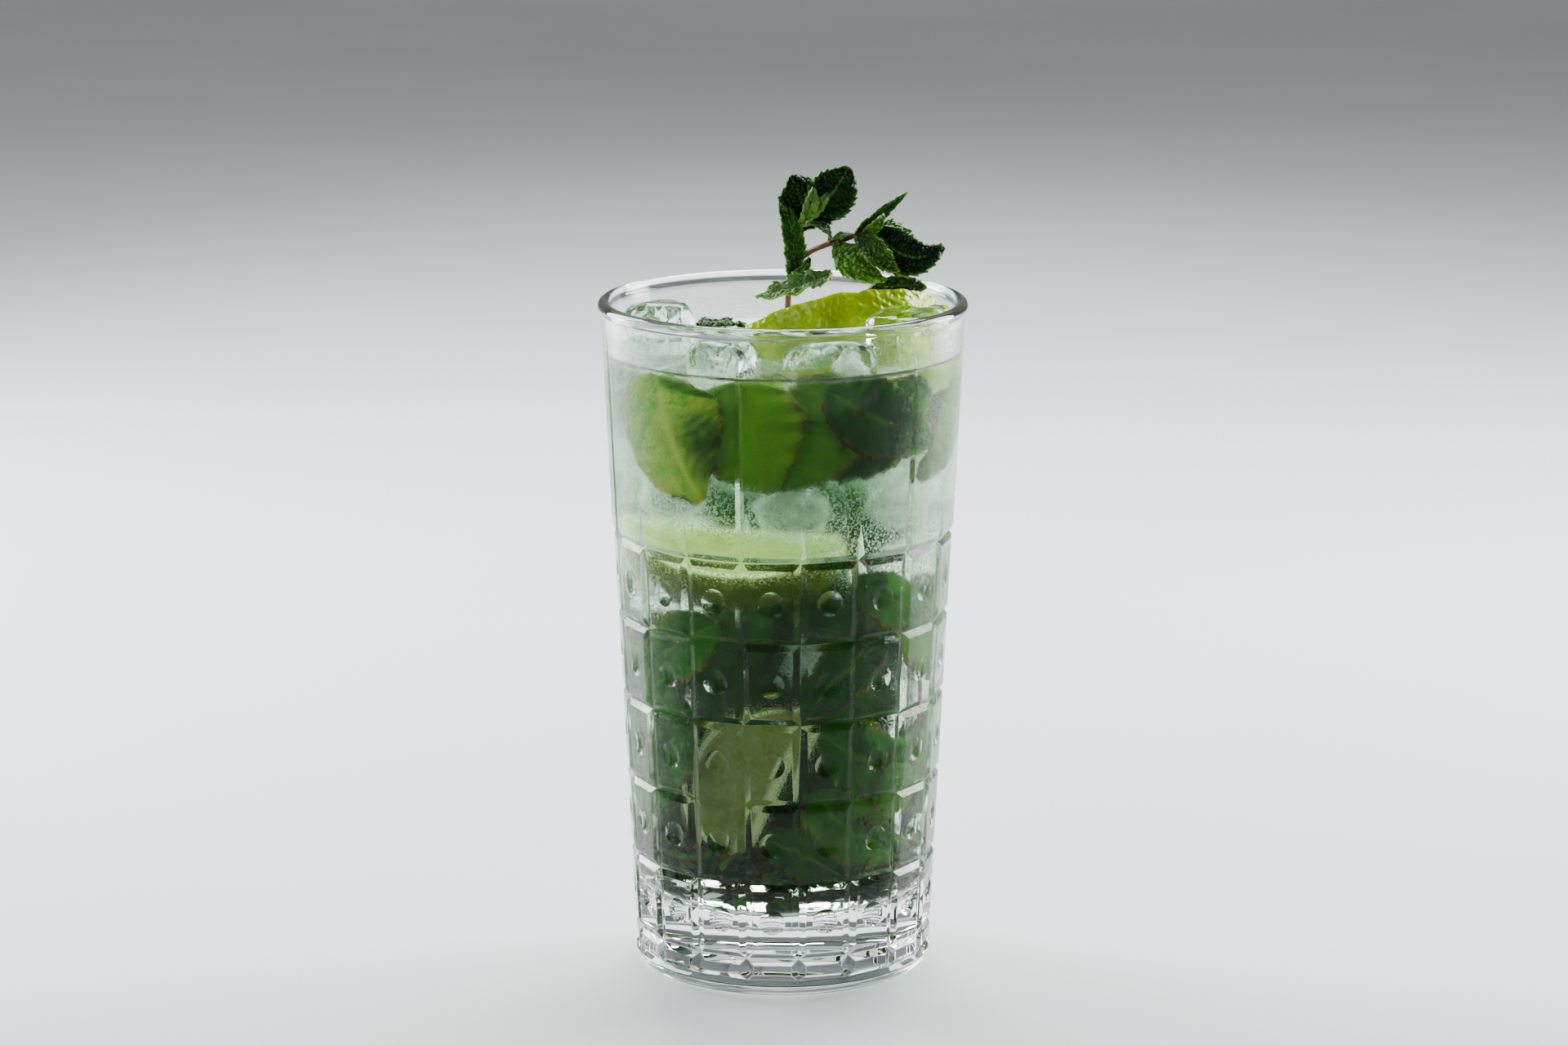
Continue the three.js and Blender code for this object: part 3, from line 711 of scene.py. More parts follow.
def tumbler():
    """The glass as one closed surface: panels below, a plain wall with grooves above, a bore and a foot."""
    shell = panel_shell()
    upper = spun("upper_wall", upper_profile())
    foot = spun("foot", foot_profile())
    glass = join([shell, upper, foot])
    edit(glass, "EDGE")
    foot_gap = (SKIRT_BOTTOM - 2.5, SKIRT_BOTTOM + 0.1)
    top_gap = (GROOVE_RINGS[-1] - 0.1, GROOVE_RINGS[-1] + GROOVE_HALF_WIDTH + 0.1)
    for low, high in (foot_gap, top_gap):
        pick_edges(glass, lambda e: e.is_boundary and all(low * MM < v.co.z < high * MM for v in e.verts))
        bpy.ops.mesh.bridge_edge_loops()
    close_up(2 * SAME_POINT)
    apply_modifier(
        glass, "BEVEL", width=EDGE_SOFTNESS * MM, segments=2, limit_method="ANGLE",
        angle_limit=math.radians(22), use_clamp_overlap=True,
    )
    cut(glass, groove_cutters())
    cut(glass, dimple_cutters())
    edit(glass)
    bpy.ops.mesh.remove_doubles(threshold=2 * SAME_POINT)
    object_mode()
    (outside,) = point_values(glass, "outside")
    for vertex in glass.data.vertices:
        x, y, z = vertex.co / MM
        wall_middle = (bore_radius(z) + outer_radius(z)) / 2
        outside[vertex.index].value = float(math.hypot(x, y) > wall_middle or z < FLOOR_HEIGHT - 1)
    smooth(glass, 28)
    apply_modifier(glass, "WEIGHTED_NORMAL", mode="FACE_AREA", weight=60, keep_sharp=True)
    return keep_piece(glass, "pressed_tumbler", pressed_glass(), "clear_glass", "glass")


# Inside of the glass, and the drink

def bore_profile(gap, top):
    """From the floor's middle up the wall to a height, inside the bore by a gap."""
    wall = [(bore_radius(z) - gap, z) for z in np.linspace(FLOOR_HEIGHT + FLOOR_FILLET, top, BORE_POINTS)]
    corner = (wall[0][0] - FLOOR_FILLET, FLOOR_HEIGHT + FLOOR_FILLET + gap)
    fillet = arc(corner, FLOOR_FILLET, -90, 0, FILLET_POINTS)
    return [(0.0, fillet[0][1])] + fillet + wall[1:]


def press_inside(obj, gap):
    """Moves what would cross the glass onto the inside of its wall and floor."""
    for vertex in obj.data.vertices:
        x, y, z = vertex.co / MM
        z = max(z, FLOOR_HEIGHT + gap)
        limit = bore_radius(z) - gap
        low = FLOOR_HEIGHT + FLOOR_FILLET - z
        if low > 0:
            limit -= FLOOR_FILLET - math.sqrt(max(FLOOR_FILLET ** 2 - low ** 2, 0))
        radius = math.hypot(x, y)
        share = min(1.0, limit / radius) if radius else 1.0
        vertex.co = Vector((x * share, y * share, z)) * MM


def drink(floating_ice):
    """The drink up to its level, with a raised edge at the wall and hollows round the ice that floats."""
    profile = bore_profile(-INTO_WALL, DRINK_LEVEL + MENISCUS_RISE)
    edge = profile[-1][0]
    rising = []
    for step in range(1, 11):
        share = (step / 10) ** 2
        rise = MENISCUS_RISE * math.exp(-MENISCUS_FALL * share)
        rising.append((edge - MENISCUS_REACH * share, DRINK_LEVEL + rise))
    flat = [(rising[-1][0] * share, DRINK_LEVEL) for share in (0.7, 0.35, 0.0)]
    body = spun("drink_body", profile + rising + flat, BORE_STEPS)
    for piece in floating_ice:
        hollow = duplicate(piece, "ice_hollow")
        apply_modifier(hollow, "DISPLACE", strength=-INTO_ICE * MM, mid_level=0.0)
        cut(body, hollow)
    smooth(body, 40)
    return keep_piece(body, "drink_body", drink_liquid(), "drink", "drink")


# Ice

# Each block's middle and size, the rounding of its edges, and its turn and tilt in degrees
FLOATING_ICE = {
    "ice_left": ((-28.2, 3, 146), (17, 18, 19.6), 5.5, 10, -7),
    "ice_front_left": ((-13.2, -25.4, 143.8), (15, 15, 17.6), 5, -24, 5),
    "ice_front": ((10.6, -26.4, 143.2), (20.4, 16.6, 18.4), 6, 20, -5),
    "ice_right": ((28.2, -12.2, 147.2), (16.4, 16.4, 18), 3, -28, 3),
    "ice_chip": ((35.6, 0.2, 150), (6, 7, 10.4), 1.6, 4, 4),
}
SUNK_ICE = (
    ((-21, -10, 114), (20, 19, 18), 4.5, 25, 14),
    ((2, -18, 112), (19, 19, 19), 5, -12, -10),
    ((22, -8, 113), (18, 19, 20), 4.5, 34, 12),
    ((-6, 8, 120), (20, 18, 19), 5, 8, 20),
    ((15, 14, 118), (19, 20, 18), 4.5, -30, -16),
    ((-22, 15, 121), (15, 16, 18), 4, 50, 10),
    ((8, -6, 74), (19, 20, 18), 5, 20, -18),
    ((-12, 14, 78), (20, 19, 19), 5, -35, 12),
    ((14, 16, 66), (18, 18, 19), 4.5, 12, 24),
    ((-4, 16, 48), (18, 19, 18), 5, 42, -12),
)
ICE_CLEARANCE = 0.3
ICE_GRAIN = 0.7
MELTED_WAVES = ((7.0, 1.3), (2.6, 0.35))
CLOUD_SHARE = 0.36
FRONT_CLOUD_SHARE = 0.2
FRONT_CLOUD_MIDDLE = (14.1, -26.4, 144.7)


def melted_block(name, centre, size, rounding, turn, tilt):
    """A cube with rounded edges and faces hollowed by melting."""
    bpy.ops.mesh.primitive_cube_add(size=1, scale=[length * MM for length in size])
    block = named(name)
    settle(block)
    apply_modifier(
        block, "BEVEL", width=rounding * MM, segments=5, limit_method="NONE", use_clamp_overlap=True,
    )
    apply_modifier(block, "REMESH", mode="VOXEL", voxel_size=ICE_GRAIN * MM)
    lean = math.radians(tilt)
    turned = Matrix.Rotation(math.radians(turn), 4, "Z") @ Matrix.Rotation(lean / 2, 4, "Y")
    block.data.transform(Matrix.Translation(Vector(centre) * MM) @ turned @ Matrix.Rotation(lean, 4, "X"))
    for width, depth in MELTED_WAVES:
        roughen(block, width, depth, 0.6)
    return block


def floating_blocks():
    """The five pieces of ice that break the surface, kept inside the bore and apart from each other."""
    blocks = []
    space_top = GLASS_HEIGHT + 20
    for name, form in FLOATING_ICE.items():
        block = melted_block(name, *form)
        space = spun("bore_space", bore_profile(ICE_CLEARANCE, space_top) + [(0.0, space_top)], BORE_STEPS)
        cut(block, space, "INTERSECT")
        for earlier in blocks:
            spacer = duplicate(earlier, "ice_spacer")
            apply_modifier(spacer, "DISPLACE", strength=ICE_CLEARANCE * MM, mid_level=0.0)
            cut(block, spacer)
        smooth(block, 50)
        blocks.append(block)
    return blocks


def bubble_cloud(centre, radius):
    """The cloud of bubbles in a block: a lumpy ball."""
    bpy.ops.mesh.primitive_ico_sphere_add(subdivisions=4, radius=radius * MM, location=Vector(centre) * MM)
    ball = named("ice_cloud")
    settle(ball)
    roughen(ball, 0.5 * radius, radius, 0.5)
    return ball


def ice():
    """All the ice and the clouds inside it. The floating blocks are given back, for the drink's hollows."""
    floating = floating_blocks()
    surface_ice = wet_ice("floating_ice", ICE_IOR)
    for block, node in zip(floating, FLOATING_ICE):
        keep_piece(block, f"{node}_block", surface_ice, "ice", node)
    sunk = join([melted_block("sunk_block", *form) for form in SUNK_ICE])
    press_inside(sunk, 0.5)
    smooth(sunk)
    keep_piece(sunk, "sunk_ice", wet_ice("sunk_ice", ICE_IN_DRINK_IOR), "ice")
    clouds = [bubble_cloud(centre, CLOUD_SHARE * min(size)) for centre, size, *_ in SUNK_ICE]
    clouds.append(bubble_cloud(FRONT_CLOUD_MIDDLE, FRONT_CLOUD_SHARE * min(FLOATING_ICE["ice_front"][1])))
    cores = join(clouds)
    smooth(cores)
    keep_piece(cores, "ice_cores", cloudy_core(), "ice")
    return floating


# Lime

class Wedge:
    """A wedge of lime: where its axis lies, how it is turned, and between which angles it was cut."""

    def __init__(self, centre, pitch, yaw, radius, half_length, low_cut, high_cut, core):
        self.radius = radius
        self.half_length = half_length
        self.low_cut = low_cut
        self.high_cut = high_cut
        self.core = core
        turned = Matrix.Rotation(math.radians(yaw), 4, "Z") @ Matrix.Rotation(math.radians(-pitch), 4, "Y")
        self.place = Matrix.Translation(Vector(centre) * MM) @ turned

    def outline(self, share):
        """The lime's radius at a share of its half length."""
        return self.radius * (1 - abs(share) ** 2.2) ** 0.62


TOP_WEDGE = Wedge((11.7, 12, 147.4), 5.6, 16, 21.5, 27, -36, 33.7, core=4.5)
HIGH_WEDGE = Wedge((-9, -3, 108), -3, -9, 21.5, 25, -100, -30, core=3.0)
LOW_WEDGE = Wedge((1, -15, 45), 64, 6, 22, 21, 92, 152, core=2.0)
TRIMMED_TO = 0.84
PORE_SPACING = 1.5
PORE_SIZE = 0.45
PORE_DEPTH = 0.42
PITH_BOTTOM = 1.6
CELL_LENGTH = 3.6
CELL_WIDTH = 1.6
CELL_HEIGHT = 0.35


def lime_wedge(name, wedge, detail, material, nodes=()):
    """One cut face, drawn as a grid from core to rind, is swept round the lime's axis to the other cut."""
    along, deep, round_steps = (int(count * detail) for count in (120, 34, 56))
    bpy.ops.mesh.primitive_grid_add(x_subdivisions=along, y_subdivisions=deep, size=2)
    piece = named(name)
    start = math.radians(wedge.low_cut)
    for vertex in piece.data.vertices:
        share = vertex.co.x * TRIMMED_TO
        reach = wedge.core + (wedge.outline(share) - wedge.core) * (vertex.co.y + 1) / 2
        across, up = -reach * math.cos(start), reach * math.sin(start)
        vertex.co = Vector((share * wedge.half_length, across, up)) * MM
    edit(piece)
    sweep = math.radians(wedge.high_cut - wedge.low_cut)
    bpy.ops.mesh.spin(steps=round_steps, angle=sweep, center=(0, 0, 0), axis=(1, 0, 0))
    close_up()
    paint_lime(piece, wedge)
    piece.data.transform(wedge.place)
    smooth(piece, 42)
    return keep_piece(piece, name, material, "lime", *nodes)


def paint_lime(piece, wedge):
    """Notes each point's depth under the rind in centimetres, and raises the pores and the pulp's cells."""
    depth, core = point_values(piece, "under_rind", "near_core")
    normals = [vertex.normal.copy() for vertex in piece.data.vertices]
    for vertex, normal in zip(piece.data.vertices, normals):
        spot = vertex.co / MM
        x, y, z = spot
        share = x / wedge.half_length
        from_axis = math.hypot(y, z)
        below = wedge.outline(min(abs(share), 1.0)) - from_axis
        depth[vertex.index].value = below / 10
        core[vertex.index].value = max(0.0, 1 - (from_axis - wedge.core) / 4) * (1 - abs(share) ** 4)
        if below < 0.05:
            nearest = noise.voronoi(spot / PORE_SPACING)[0][0]
            pore = max(0.0, 1 - nearest / PORE_SIZE)
            vertex.co += normal * (noise.noise(spot / 4) * 0.5 - PORE_DEPTH * pore) * MM
        elif below > PITH_BOTTOM:
            spot = Vector((x / CELL_WIDTH, y / CELL_LENGTH, z / CELL_LENGTH))
            near, next_near = noise.voronoi(spot)[0][:2]
            vertex.co += normal * (CELL_HEIGHT * min(1.0, 2.2 * (next_near - near)) - 0.25) * MM


def limes():
    """The wedge that leans out of the drink, and two sunk in it, whose rind and flesh colours are scaled
    darker as painted shade.
    """
    lime_wedge("lime_wedge_top", TOP_WEDGE, 1.0, lime_skin_and_flesh("lime"), ("lime_wedge",))
    # The two shares scale each sunk wedge's rind, and its pith and flesh, darker: painted shade
    for name, wedge, skin, flesh in (
        ("lime_wedge_sunk_high", HIGH_WEDGE, 0.30, 0.78),
        ("lime_wedge_sunk_low", LOW_WEDGE, 0.30, 0.41),
    ):
        piece = lime_wedge(name, wedge, 0.7, lime_skin_and_flesh(name, skin, flesh, wet=True))
        press_inside(piece, 0.5)


# Mint

class Leaf:
    """A leaf on a curved midrib from base through mid to tip, facing one way and folded by an angle, with a
    tone of green that is partly painted light and shade.
    """

    def __init__(self, base, mid, tip, half, face, fold, wide, tone=0.4, underside=False):
        self.points = [Vector(point) for point in (base, mid, tip)]
        self.half = half
        self.face = Vector(face)
        self.fold = math.radians(fold)
        self.wide = wide
        self.tone = tone
        self.underside = underside
        base, mid, tip = self.points
        self.control = 2 * mid - (base + tip) / 2
        self.length = (mid - base).length + (tip - mid).length

    def at(self, t):
        """Point, side and normal of the midrib at a share of its length."""
        base, _, tip = self.points
        point = (1 - t) ** 2 * base + 2 * t * (1 - t) * self.control + t ** 2 * tip
        tangent = (2 * (1 - t) * (self.control - base) + 2 * t * (tip - self.control)).normalized()
        side = tangent.cross(self.face).normalized()
        return point, side, side.cross(tangent).normalized()

    def width(self, t):
        """Half the leaf's width at a share of its length."""
        return self.half * max(0.14, math.sin(math.pi * t ** self.wide) ** 0.7 if 0 < t < 1 else 0)


TOOTH_PITCH = 1.7
TOOTH_DEPTH = 0.95
VEIN_PITCH = 3.4
CELL_SIZE = 1.15
LEAF_THICKNESS = 0.42
MIDRIB_WIDTH = 0.45

# Shares of a leaf's half width or length
TOOTH_BAND = 0.3
VEIN_SLANT = 0.75
EDGE_BAND = 0.16
TIP_BAND = 0.06
LEAF_WAVE = 0.08
LEAF_RUFFLE = 0.09

# Height of the quilting between the veins, as shares of a piece's relief
VEIN_BULGE = 0.3
CELL_BULGE = 0.48
BULGE_MIDDLE = 0.36


def fraction(value):
    return value - math.floor(value)


def blade(leaf, along, across, relief, seed):
    """One leaf: a grid bent along the midrib, with teeth, side veins and the quilting between them."""
    bpy.ops.mesh.primitive_grid_add(x_subdivisions=along, y_subdivisions=across, size=2)
    obj = named("leaf_blade")
    vein, crease, margin, tone = point_values(obj, "vein", "crease", "edge", "tone")
    teeth = max(5, round(leaf.length / TOOTH_PITCH))
    veins = max(4, round(leaf.length / VEIN_PITCH))
    cell = min(CELL_SIZE, 0.42 * leaf.half + 0.25)
    for vertex in obj.data.vertices:
        t = (vertex.co.x + 1) / 2
        u = vertex.co.y
        rim = abs(u)
        tooth = fraction(t * teeth + (0.35 if u > 0 else 0.0))
        outer = max(0.0, (rim - (1 - TOOTH_BAND)) / TOOTH_BAND)
        inside = math.sin(math.pi * min(max(t, 0.0), 1.0)) ** 0.4
        t_shifted = min(1.0, t + 0.5 / teeth * tooth * outer * inside)
        point, side, normal = leaf.at(t_shifted)
        tooth_depth = min(TOOTH_DEPTH, 0.24 * leaf.half)
        width = leaf.width(t_shifted) + tooth_depth * (tooth - 0.5) * outer * inside
        across_mm = u * width
        between = fraction(t * veins - VEIN_SLANT * rim + 0.5)
        bulge = math.sin(math.pi * between) ** 0.7 * min(1.0, rim * 5)
        spot = Vector((t * leaf.length / cell, across_mm / cell, seed * 7.3))
        near, next_near = noise.voronoi(spot)[0][:2]
        ridge = min(1.0, 1.7 * (next_near - near)) ** 0.6
        size_share = min(1.0, leaf.half / 4)
        pucker = VEIN_BULGE * bulge + CELL_BULGE * ridge - BULGE_MIDDLE
        quilt = relief * size_share * pucker * (1 - 0.5 * rim ** 6)
        wave = LEAF_WAVE * leaf.half * rim * math.sin(9 * t + 2 * u)
        ruffle_turn = 2 * math.pi * t * teeth / 3 + seed + 2 * u
        ruffle = LEAF_RUFFLE * leaf.half * rim ** 3 * math.sin(ruffle_turn)
        lift = rim * width * math.sin(leaf.fold) + wave + relief * ruffle + quilt
        vertex.co = (point + side * across_mm * math.cos(leaf.fold) + normal * lift) * MM
        on_side_vein = max(0.0, 1 - min(between, 1 - between) * 9) * min(1.0, rim * 6)
        on_midrib = max(0.0, 1 - rim * leaf.half / MIDRIB_WIDTH)
        network = min(1.0, max(0.8 * on_side_vein, (1 - ridge) ** 1.5))
        vein[vertex.index].value = max(on_midrib, network) if leaf.underside else 0.7 * on_midrib
        # On the upper side the creases are kept for the painted shade in them, and for their relief
        crease[vertex.index].value = 0.0 if leaf.underside else network
        at_side, at_tip = (rim - (1 - EDGE_BAND)) / EDGE_BAND, (t - (1 - TIP_BAND)) / TIP_BAND
        margin[vertex.index].value = max(0.0, at_side, at_tip)
        tone[vertex.index].value = leaf.tone
    edit(obj)
    bpy.ops.mesh.normals_make_consistent(inside=False)
    object_mode()
    apply_modifier(obj, "SOLIDIFY", thickness=LEAF_THICKNESS * MM, offset=0.0)
    return obj


# A leaf's tone, its number before underside, is its own green from dark to pale together with painted light
# and shade for how brightly the leaf is lit
SPRIG_LEAVES = (
    Leaf((3.8, 20.2, 169.4), (10.3, 17.6, 176.9), (15.2, 17, 184.9), 5.6, (.1, -1, .2), 8, 1.35, 0.12),
    Leaf((4.2, 20.2, 169.6), (4.3, 18.7, 176.1), (1.6, 18.4, 182.4), 4.9, (.15, -1, .3), 10, 1.5, 0.10),
    Leaf((1.6, 21.4, 157.6), (2.3, 17.4, 167.4), (-1, 18, 177.6), 2.9, (.3, -1, 0), 28, .9, 0.45),
    Leaf((1.7, 21.6, 158), (4.5, 17.8, 160.5), (6.2, 17.6, 163.4), 1.5, (.4, -1, .4), 30, .8, 0.3),
    Leaf((4.2, 19.9, 170.8), (6.2, 14.6, 175.6), (7, 15.4, 180), 2.2, (.2, -1, .2), 38, .9, 0.85, True),
    Leaf((5.4, 17.2, 172.6), (8.2, 14.2, 175.8), (10.6, 15.6, 178.6), 1.8, (-.3, -1, .3), 30, .8, 0.8, True),
    Leaf((10.6, 15.2, 167.2), (9.9, 12, 170.9), (5.7, 12, 172.3), 1.3, (.4, -.6, .6), 20, .9, 0.35),
    Leaf((16, 12.7, 169.6), (13.8, 10.5, 169.7), (11.4, 10.6, 168.9), 1, (0, -.6, 1), 16, .9, 0.7),
    Leaf((16.8, 12.4, 169.8), (21.8, 12, 174.4), (28.6, 14, 179.2), 1.8, (.5, -1, -.2), 30, .7, 0.5),
    Leaf((18.8, 12, 170.2), (21.2, 9.4, 172.2), (23.2, 10.2, 174.6), 1.6, (.3, -1, 0), 30, .8, 0.9),
    Leaf((20.2, 12, 170.8), (25.2, 13, 170.1), (29.6, 15, 169.8), 2.2, (.1, -1, .3), 20, .8, 0.55),
    Leaf((13.2, 13.6, 168), (16.1, 6.4, 164.2), (23.6, 7, 159.9), 3.7, (-.3, -1, .5), -12, .8, 0.75),
    Leaf((17.4, 12.2, 169.6), (21.8, 6, 165.9), (26.2, 6.8, 162), 3.0, (0, -1, .4), 20, .8, 0.6),
    Leaf((21, 12.2, 171.2), (29, 9.6, 165), (37, 10, 167.4), 5.1, (-.1, -1, .25), 10, .66, 0.1),
    Leaf((4, 20.4, 171.4), (6.4, 25.6, 174.6), (10.4, 31, 174.6), 4.2, (-.5, 0, 1), 14, .8, 0.25),
    Leaf((20.8, 12.2, 171.4), (24, 17.8, 170.2), (25.6, 24, 167), 3.8, (.1, .5, 1), 14, .8, 0.25),
)
LOOSE_LEAVES = {
    "mint_leaf_front":
        Leaf((11.3, 12.5, 160.4), (4, 9.4, 158.2), (-6, 10.5, 155.3), 3.4, (-.1, -.6, 1), 16, .9, 0.6, True),
    "mint_leaf_right":
        Leaf((19.8, 18.4, 155.6), (26.9, 19.2, 156.4), (33.3, 16.2, 156.8), 2.6, (0, -1, .4), 14, 1, 0.1),
    "mint_leaf_back":
        Leaf((-20.6, 27.6, 145.4), (-15, 29.8, 145.7), (-8.8, 30.2, 145.3), 3.6, (0, 0, 1), 6, .9, 0.1),
}
MAIN_STEM = (
    (1.6, 26, 130), (1.4, 22.5, 155.7), (2.2, 20.5, 160.7), (5, 19, 163.7),
    (9.4, 16, 166.5), (14.4, 13, 168.5), (18.7, 12, 170.4), (21.6, 12, 171.8),
)
SIDE_STEM = ((3.1, 20, 161.4), (4.1, 20, 166.1), (3.9, 20.3, 170.4), (4.2, 20.4, 172))
STEM_RADIUS = 0.75

# Leaves in the drink: the upper ones, the lower ones from the top down, and those at the walls and the back
SUNK_LEAVES = (
    Leaf((-27, -27, 144.4), (-25, -28.5, 131), (-18, -32.5, 116.5), 16, (-.62, -.78, .05), 0, .72, 0, True),
    Leaf((-10, -31, 144), (-7, -30, 131), (-2, -30, 118.5), 13, (-.15, -1, .05), 0, .75, 1.0, True),
    Leaf((16, -27, 143), (6, -28, 131), (-4, -27.5, 119), 11.5, (0, -1, .1), 4, .8, 0.8),
    Leaf((9, -30, 142), (20, -29, 135), (33, -18, 127), 9, (.3, -1, .1), 12, .9, 0.15),
    Leaf((31, -20, 141), (22, -27, 132), (11, -26, 121), 9, (.2, -1, 0), 14, .8, 0.25),
    Leaf((35, -6, 140), (35, -10, 130), (28, -18, 119), 8, (1, -.5, 0), 12, .9, 0.9),
    Leaf((-30, 14, 138), (-24, 22, 130), (-14, 28, 122), 9, (-.3, .9, .2), 12, .8, 0.15),
    Leaf((24, 20, 138), (14, 26, 130), (2, 30, 122), 10, (.2, 1, .2), 10, .8, 0.12),
    Leaf((16, -26, 98), (24, -24, 92), (33, -11, 86), 6.5, (.3, -1, .1), 16, .9, 0.35),
    Leaf((24, -20, 90), (30, -16, 80), (33, -4, 71), 6, (.8, -.7, .1), 14, .8, 0.6),
    Leaf((22, -22, 84), (13, -27, 76), (4, -27, 66), 7, (0, -1, 0), 12, .9, 0.15),
    Leaf((-14, -28, 88), (-24, -22, 80), (-31, -9, 72), 8, (-.5, -.9, 0), 10, .8, 0.4),
    Leaf((-31, -6, 84), (-28, -16, 71), (-20, -23, 60), 8, (-.6, -.8, .1), 12, .8, 0.35),
    Leaf((-18, -25, 66), (-25, -17, 52), (-26, -12, 36), 8, (-.6, -.8, 0), 14, .9, 0.35),
    Leaf((8, -28, 62), (19, -24, 54), (28, -11, 48), 8.5, (.4, -.9, 0), 12, .8, 0.3),
    Leaf((30, -4, 62), (27, -16, 50), (17, -25, 40), 8, (.6, -.8, .1), 16, .9, 0.55),
    Leaf((6, -28, 48), (15, -25, 38), (26, -12, 29), 8, (.3, -.9, .1), 14, .8, 0.5),
    Leaf((-4, -28, 38), (6, -27, 32), (16, -22, 25), 6, (0, -1, .2), 16, .8, 0.3),
    Leaf((-34.5, 6, 93), (-33.5, -3, 81), (-31.5, -7, 66), 9, (-1, -.3, 0), 0, .8, 0.3),
    Leaf((-32.5, 4, 67), (-31.5, -4, 54), (-29, -8, 38), 9, (-1, -.3, 0), 0, .8, 0.25),
    Leaf((34.5, 4, 98), (34, -5, 86), (31.5, -11, 70), 8.5, (1, -.35, 0), 0, .8, 0.5),
    Leaf((33, 3, 68), (31.5, -5, 54), (28.5, -10, 38), 9, (1, -.35, 0), 0, .8, 0.45),
    Leaf((-30, 13, 78), (-17, 18, 70), (-2, 21, 60), 11, (0, -1, 0), 0, .8, 0.15),
    Leaf((-8, 20, 57), (6, 22, 48), (20, 17, 39), 11, (0, -1, 0), 0, .8, 0.2),
)
ICE_BAND = (96, 124)
BEHIND_ICE = 14
LEAF_LEVELS = 13
LOWEST_LEVEL = 28
LEVEL_SPACING = 7.6
SCRAP_COUNT = 150
SCRAP_BED_FLOOR = 18.4
SCRAP_BED_DEPTH = 12
SCRAP_BED_RADIUS = 29
SUNK_STEM = (
    (14, -25, 103), (18, -25, 96), (23, -22, 89), (27, -18, 80), (29, -14, 70), (28, -12, 60),
)


def sunk_leaves():
    """The named leaves, then others that fill the middle and back of the drink."""
    rng = random.Random(7)
    leaves = list(SUNK_LEAVES)
    for level in range(LEAF_LEVELS):
        z = LOWEST_LEVEL + LEVEL_SPACING * level
        back = BEHIND_ICE if ICE_BAND[0] < z < ICE_BAND[1] else 0
        for turn in range(2 if back else 3):
            angle = math.radians(110 * level + 150 * turn + rng.uniform(-25, 25))
            away = rng.uniform(4, 24)
            centre = Vector((away * math.sin(angle), 8 + back + 0.7 * away * math.cos(angle), z))
            lie = Vector((rng.uniform(-1, 1), rng.uniform(-0.5, 0.5), rng.uniform(-0.9, 0.6))).normalized()
            reach = rng.uniform(12, 18)
            bend = Vector((0, rng.uniform(-4, 4), rng.uniform(-3, 3)))
            face = (rng.uniform(-0.5, 0.5), -1, rng.uniform(-0.3, 0.9))
            leaves.append(Leaf(
                centre - lie * reach, centre + bend, centre + lie * reach, rng.uniform(6.5, 9.5),
                face, rng.uniform(-16, 22), 0.85, rng.uniform(0.08, 0.4),
            ))
    return leaves


def muddled_scraps():
    """Torn and bruised bits of leaf that have settled on the floor of the glass."""
    rng = random.Random(19)
    scraps = []
    for _ in range(SCRAP_COUNT):
        angle = rng.uniform(0, 2 * math.pi)
        away = SCRAP_BED_RADIUS * math.sqrt(rng.random())
        z = SCRAP_BED_FLOOR + SCRAP_BED_DEPTH * rng.random() ** 1.9
        centre = Vector((away * math.sin(angle), -away * math.cos(angle), z))
        lie = Vector((rng.uniform(-1, 1), rng.uniform(-1, 1), rng.uniform(-0.25, 0.35))).normalized()
        reach = rng.uniform(3, 7.5)
        bend = Vector((0, 0, rng.uniform(-2, 3)))
        face = (rng.uniform(-1, 1), rng.uniform(-1, 1), 1)
        scraps.append(Leaf(
            centre - lie * reach, centre + bend, centre + lie * reach, rng.uniform(2.2, 5), face,
            rng.uniform(-30, 45), 0.8, rng.uniform(-0.1, 0.25),
        ))
    return scraps


def stem(name, points, radius, taper=0.75):
    """A round stem along its points, thinner at its far end."""
    curve = bpy.data.curves.new(name, "CURVE")
    curve.dimensions = "3D"
    curve.bevel_depth = radius * MM
    curve.bevel_resolution = 2
    curve.use_fill_caps = True
    curve.resolution_u = 6
    spline = curve.splines.new("BEZIER")
    spline.bezier_points.add(len(points) - 1)
    for number, (knot, place) in enumerate(zip(spline.bezier_points, points)):
        knot.co = Vector(place) * MM
        knot.handle_left_type = knot.handle_right_type = "AUTO"
        knot.radius = 1 + (taper - 1) * number / (len(points) - 1)
    obj = bpy.data.objects.new(name, curve)
    bpy.context.scene.collection.objects.link(obj)
    activate(obj)
    bpy.ops.object.convert(target="MESH")
    obj = bpy.context.object
    edit(obj, "VERT")
    close_up()
    roughen(obj, 1.6, 0.3, 0.5)
    return obj


def leaves_piece(name, leaves, along, across, relief, material, *nodes):
    """Leaves as one piece, each on a grid of so many points along and across."""
    blades = [blade(leaf, along, across, relief, seed) for seed, leaf in enumerate(leaves)]
    piece = join(blades) if len(blades) > 1 else blades[0]
    smooth(piece)
    return keep_piece(piece, name, material, "mint", *nodes)


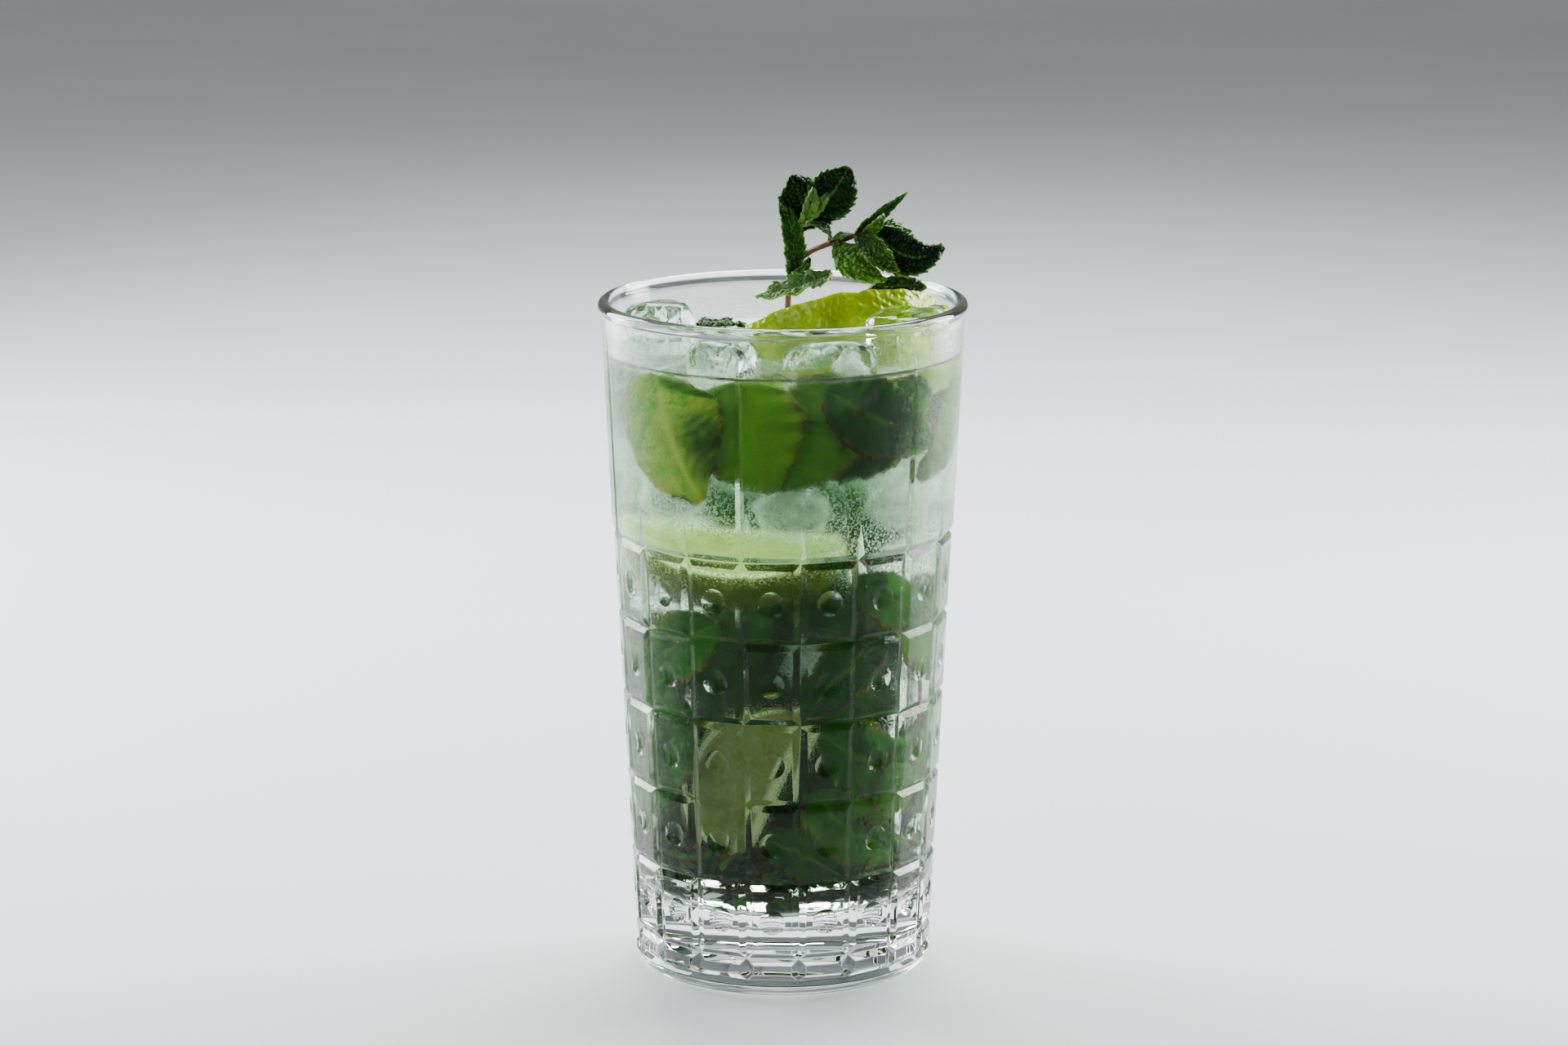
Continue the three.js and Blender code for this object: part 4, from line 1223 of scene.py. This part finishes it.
def mint_pieces():
    """The sprig and its stems, the loose leaves, and the leaves, scraps and stem that are sunk."""
    fresh = mint("fresh_mint", FRESH_GREENS)
    sunk = mint("sunk_mint", SUNK_GREENS, wet=True)
    skin = stem_skin()
    leaves_piece("mint_sprig_leaves", SPRIG_LEAVES, 84, 32, 2.0, fresh, "mint_sprig")
    stems = join([stem("main_stem", MAIN_STEM, STEM_RADIUS), stem("side_stem", SIDE_STEM, STEM_RADIUS)])
    smooth(stems)
    keep_piece(stems, "mint_sprig_stems", skin, "mint", "mint_sprig")
    for node, leaf in LOOSE_LEAVES.items():
        leaves_piece(f"{node}_blade", [leaf], 90, 36, 2.0, fresh, node)
    under = leaves_piece("sunk_mint_leaves", sunk_leaves(), 36, 16, 1.2, sunk)
    press_inside(under, 0.35)
    scraps = leaves_piece("muddled_mint", muddled_scraps(), 12, 8, 1.0, sunk)
    press_inside(scraps, 0.35)
    keep_piece(stem("sunk_stem", SUNK_STEM, 1.0, 0.6), "sunk_mint_stem", skin, "mint")


# Stage and light, in metres

FLOOR_SIZE = 6
BACKDROP_RISES = ((0.6, 0.15), (0.3, 0.6), (0.0, 3.0))
GLASS_MIDDLE = (0, 0, 0.09)
# Each lamp's place, what it faces, its width and height, and its power in watts
LAMPS = {
    "key_left_back": ((-0.62, 0.42, 0.40), GLASS_MIDDLE, (0.35, 0.65), 11.0),
    "rim_right_back": ((0.66, 0.34, 0.34), GLASS_MIDDLE, (0.30, 0.55), 8.0),
    "top_back": ((0.10, 0.55, 0.95), GLASS_MIDDLE, (0.7, 0.5), 16.0),
    "floor_wash": ((0, 2.4, 1.7), (0, 2.2, 0), (3.5, 1.6), 12.0),
    "front_fill": ((-0.55, -0.75, 0.75), GLASS_MIDDLE, (0.5, 0.5), 2.2),
}
WORLD_COLOUR = (0.50, 0.53, 0.57, 1)
WORLD_STRENGTH = 0.26
GLASS_BOUNCES = 24
SHADOW_BOUNCES = 32


def stage():
    """A floor that curves up into a backdrop far behind the glass."""
    bpy.ops.mesh.primitive_plane_add(size=FLOOR_SIZE, location=(0, 0, 0))
    floor = named("studio_floor")
    floor.data.materials.append(pale_floor())
    edit(floor, "EDGE")
    pick_edges(floor, lambda e: all(v.co.y > FLOOR_SIZE / 2 - 0.1 for v in e.verts))
    for back, up in BACKDROP_RISES:
        bpy.ops.mesh.extrude_edges_move(TRANSFORM_OT_translate={"value": (0, back, up)})
    object_mode()
    smooth(floor)


def softbox(name, place, target, size, power):
    """A rectangular lamp that faces a target."""
    bpy.ops.object.light_add(type="AREA", location=place)
    lamp = bpy.context.object
    lamp.name = name
    lamp.data.shape = "RECTANGLE"
    lamp.data.size, lamp.data.size_y = size
    lamp.data.energy = power
    lamp.rotation_euler = (Vector(target) - Vector(place)).to_track_quat("-Z", "Y").to_euler()


def lights():
    for name, form in LAMPS.items():
        softbox(name, *form)
    scene = bpy.context.scene
    scene.world = scene.world or bpy.data.worlds.new("studio")
    scene.world.use_nodes = True
    background = scene.world.node_tree.nodes["Background"]
    background.inputs["Color"].default_value = WORLD_COLOUR
    background.inputs["Strength"].default_value = WORLD_STRENGTH
    scene.view_settings.look = "AgX - Medium High Contrast"
    scene.cycles.max_bounces = GLASS_BOUNCES
    scene.cycles.transmission_bounces = GLASS_BOUNCES
    scene.cycles.transparent_max_bounces = SHADOW_BOUNCES


# Camera, fitted to the photograph's rims, sides and groove rings
CAMERA_PLACE = (0.0, -978.54, 324.46)
CAMERA_PITCH = 12.679
CAMERA_LENS = 99.5
CAMERA_SHIFT = 0.00075


def camera():
    bpy.ops.object.camera_add(location=Vector(CAMERA_PLACE) * MM)
    view = bpy.context.object
    view.rotation_euler = (math.radians(90 - CAMERA_PITCH), 0, 0)
    view.data.sensor_width = 36
    view.data.lens = CAMERA_LENS
    view.data.shift_x = CAMERA_SHIFT
    view.data.clip_end = 50
    bpy.context.scene.camera = view


tumbler()
floating_ice = ice()
drink(floating_ice)
limes()
mint_pieces()
stage()
lights()
camera()
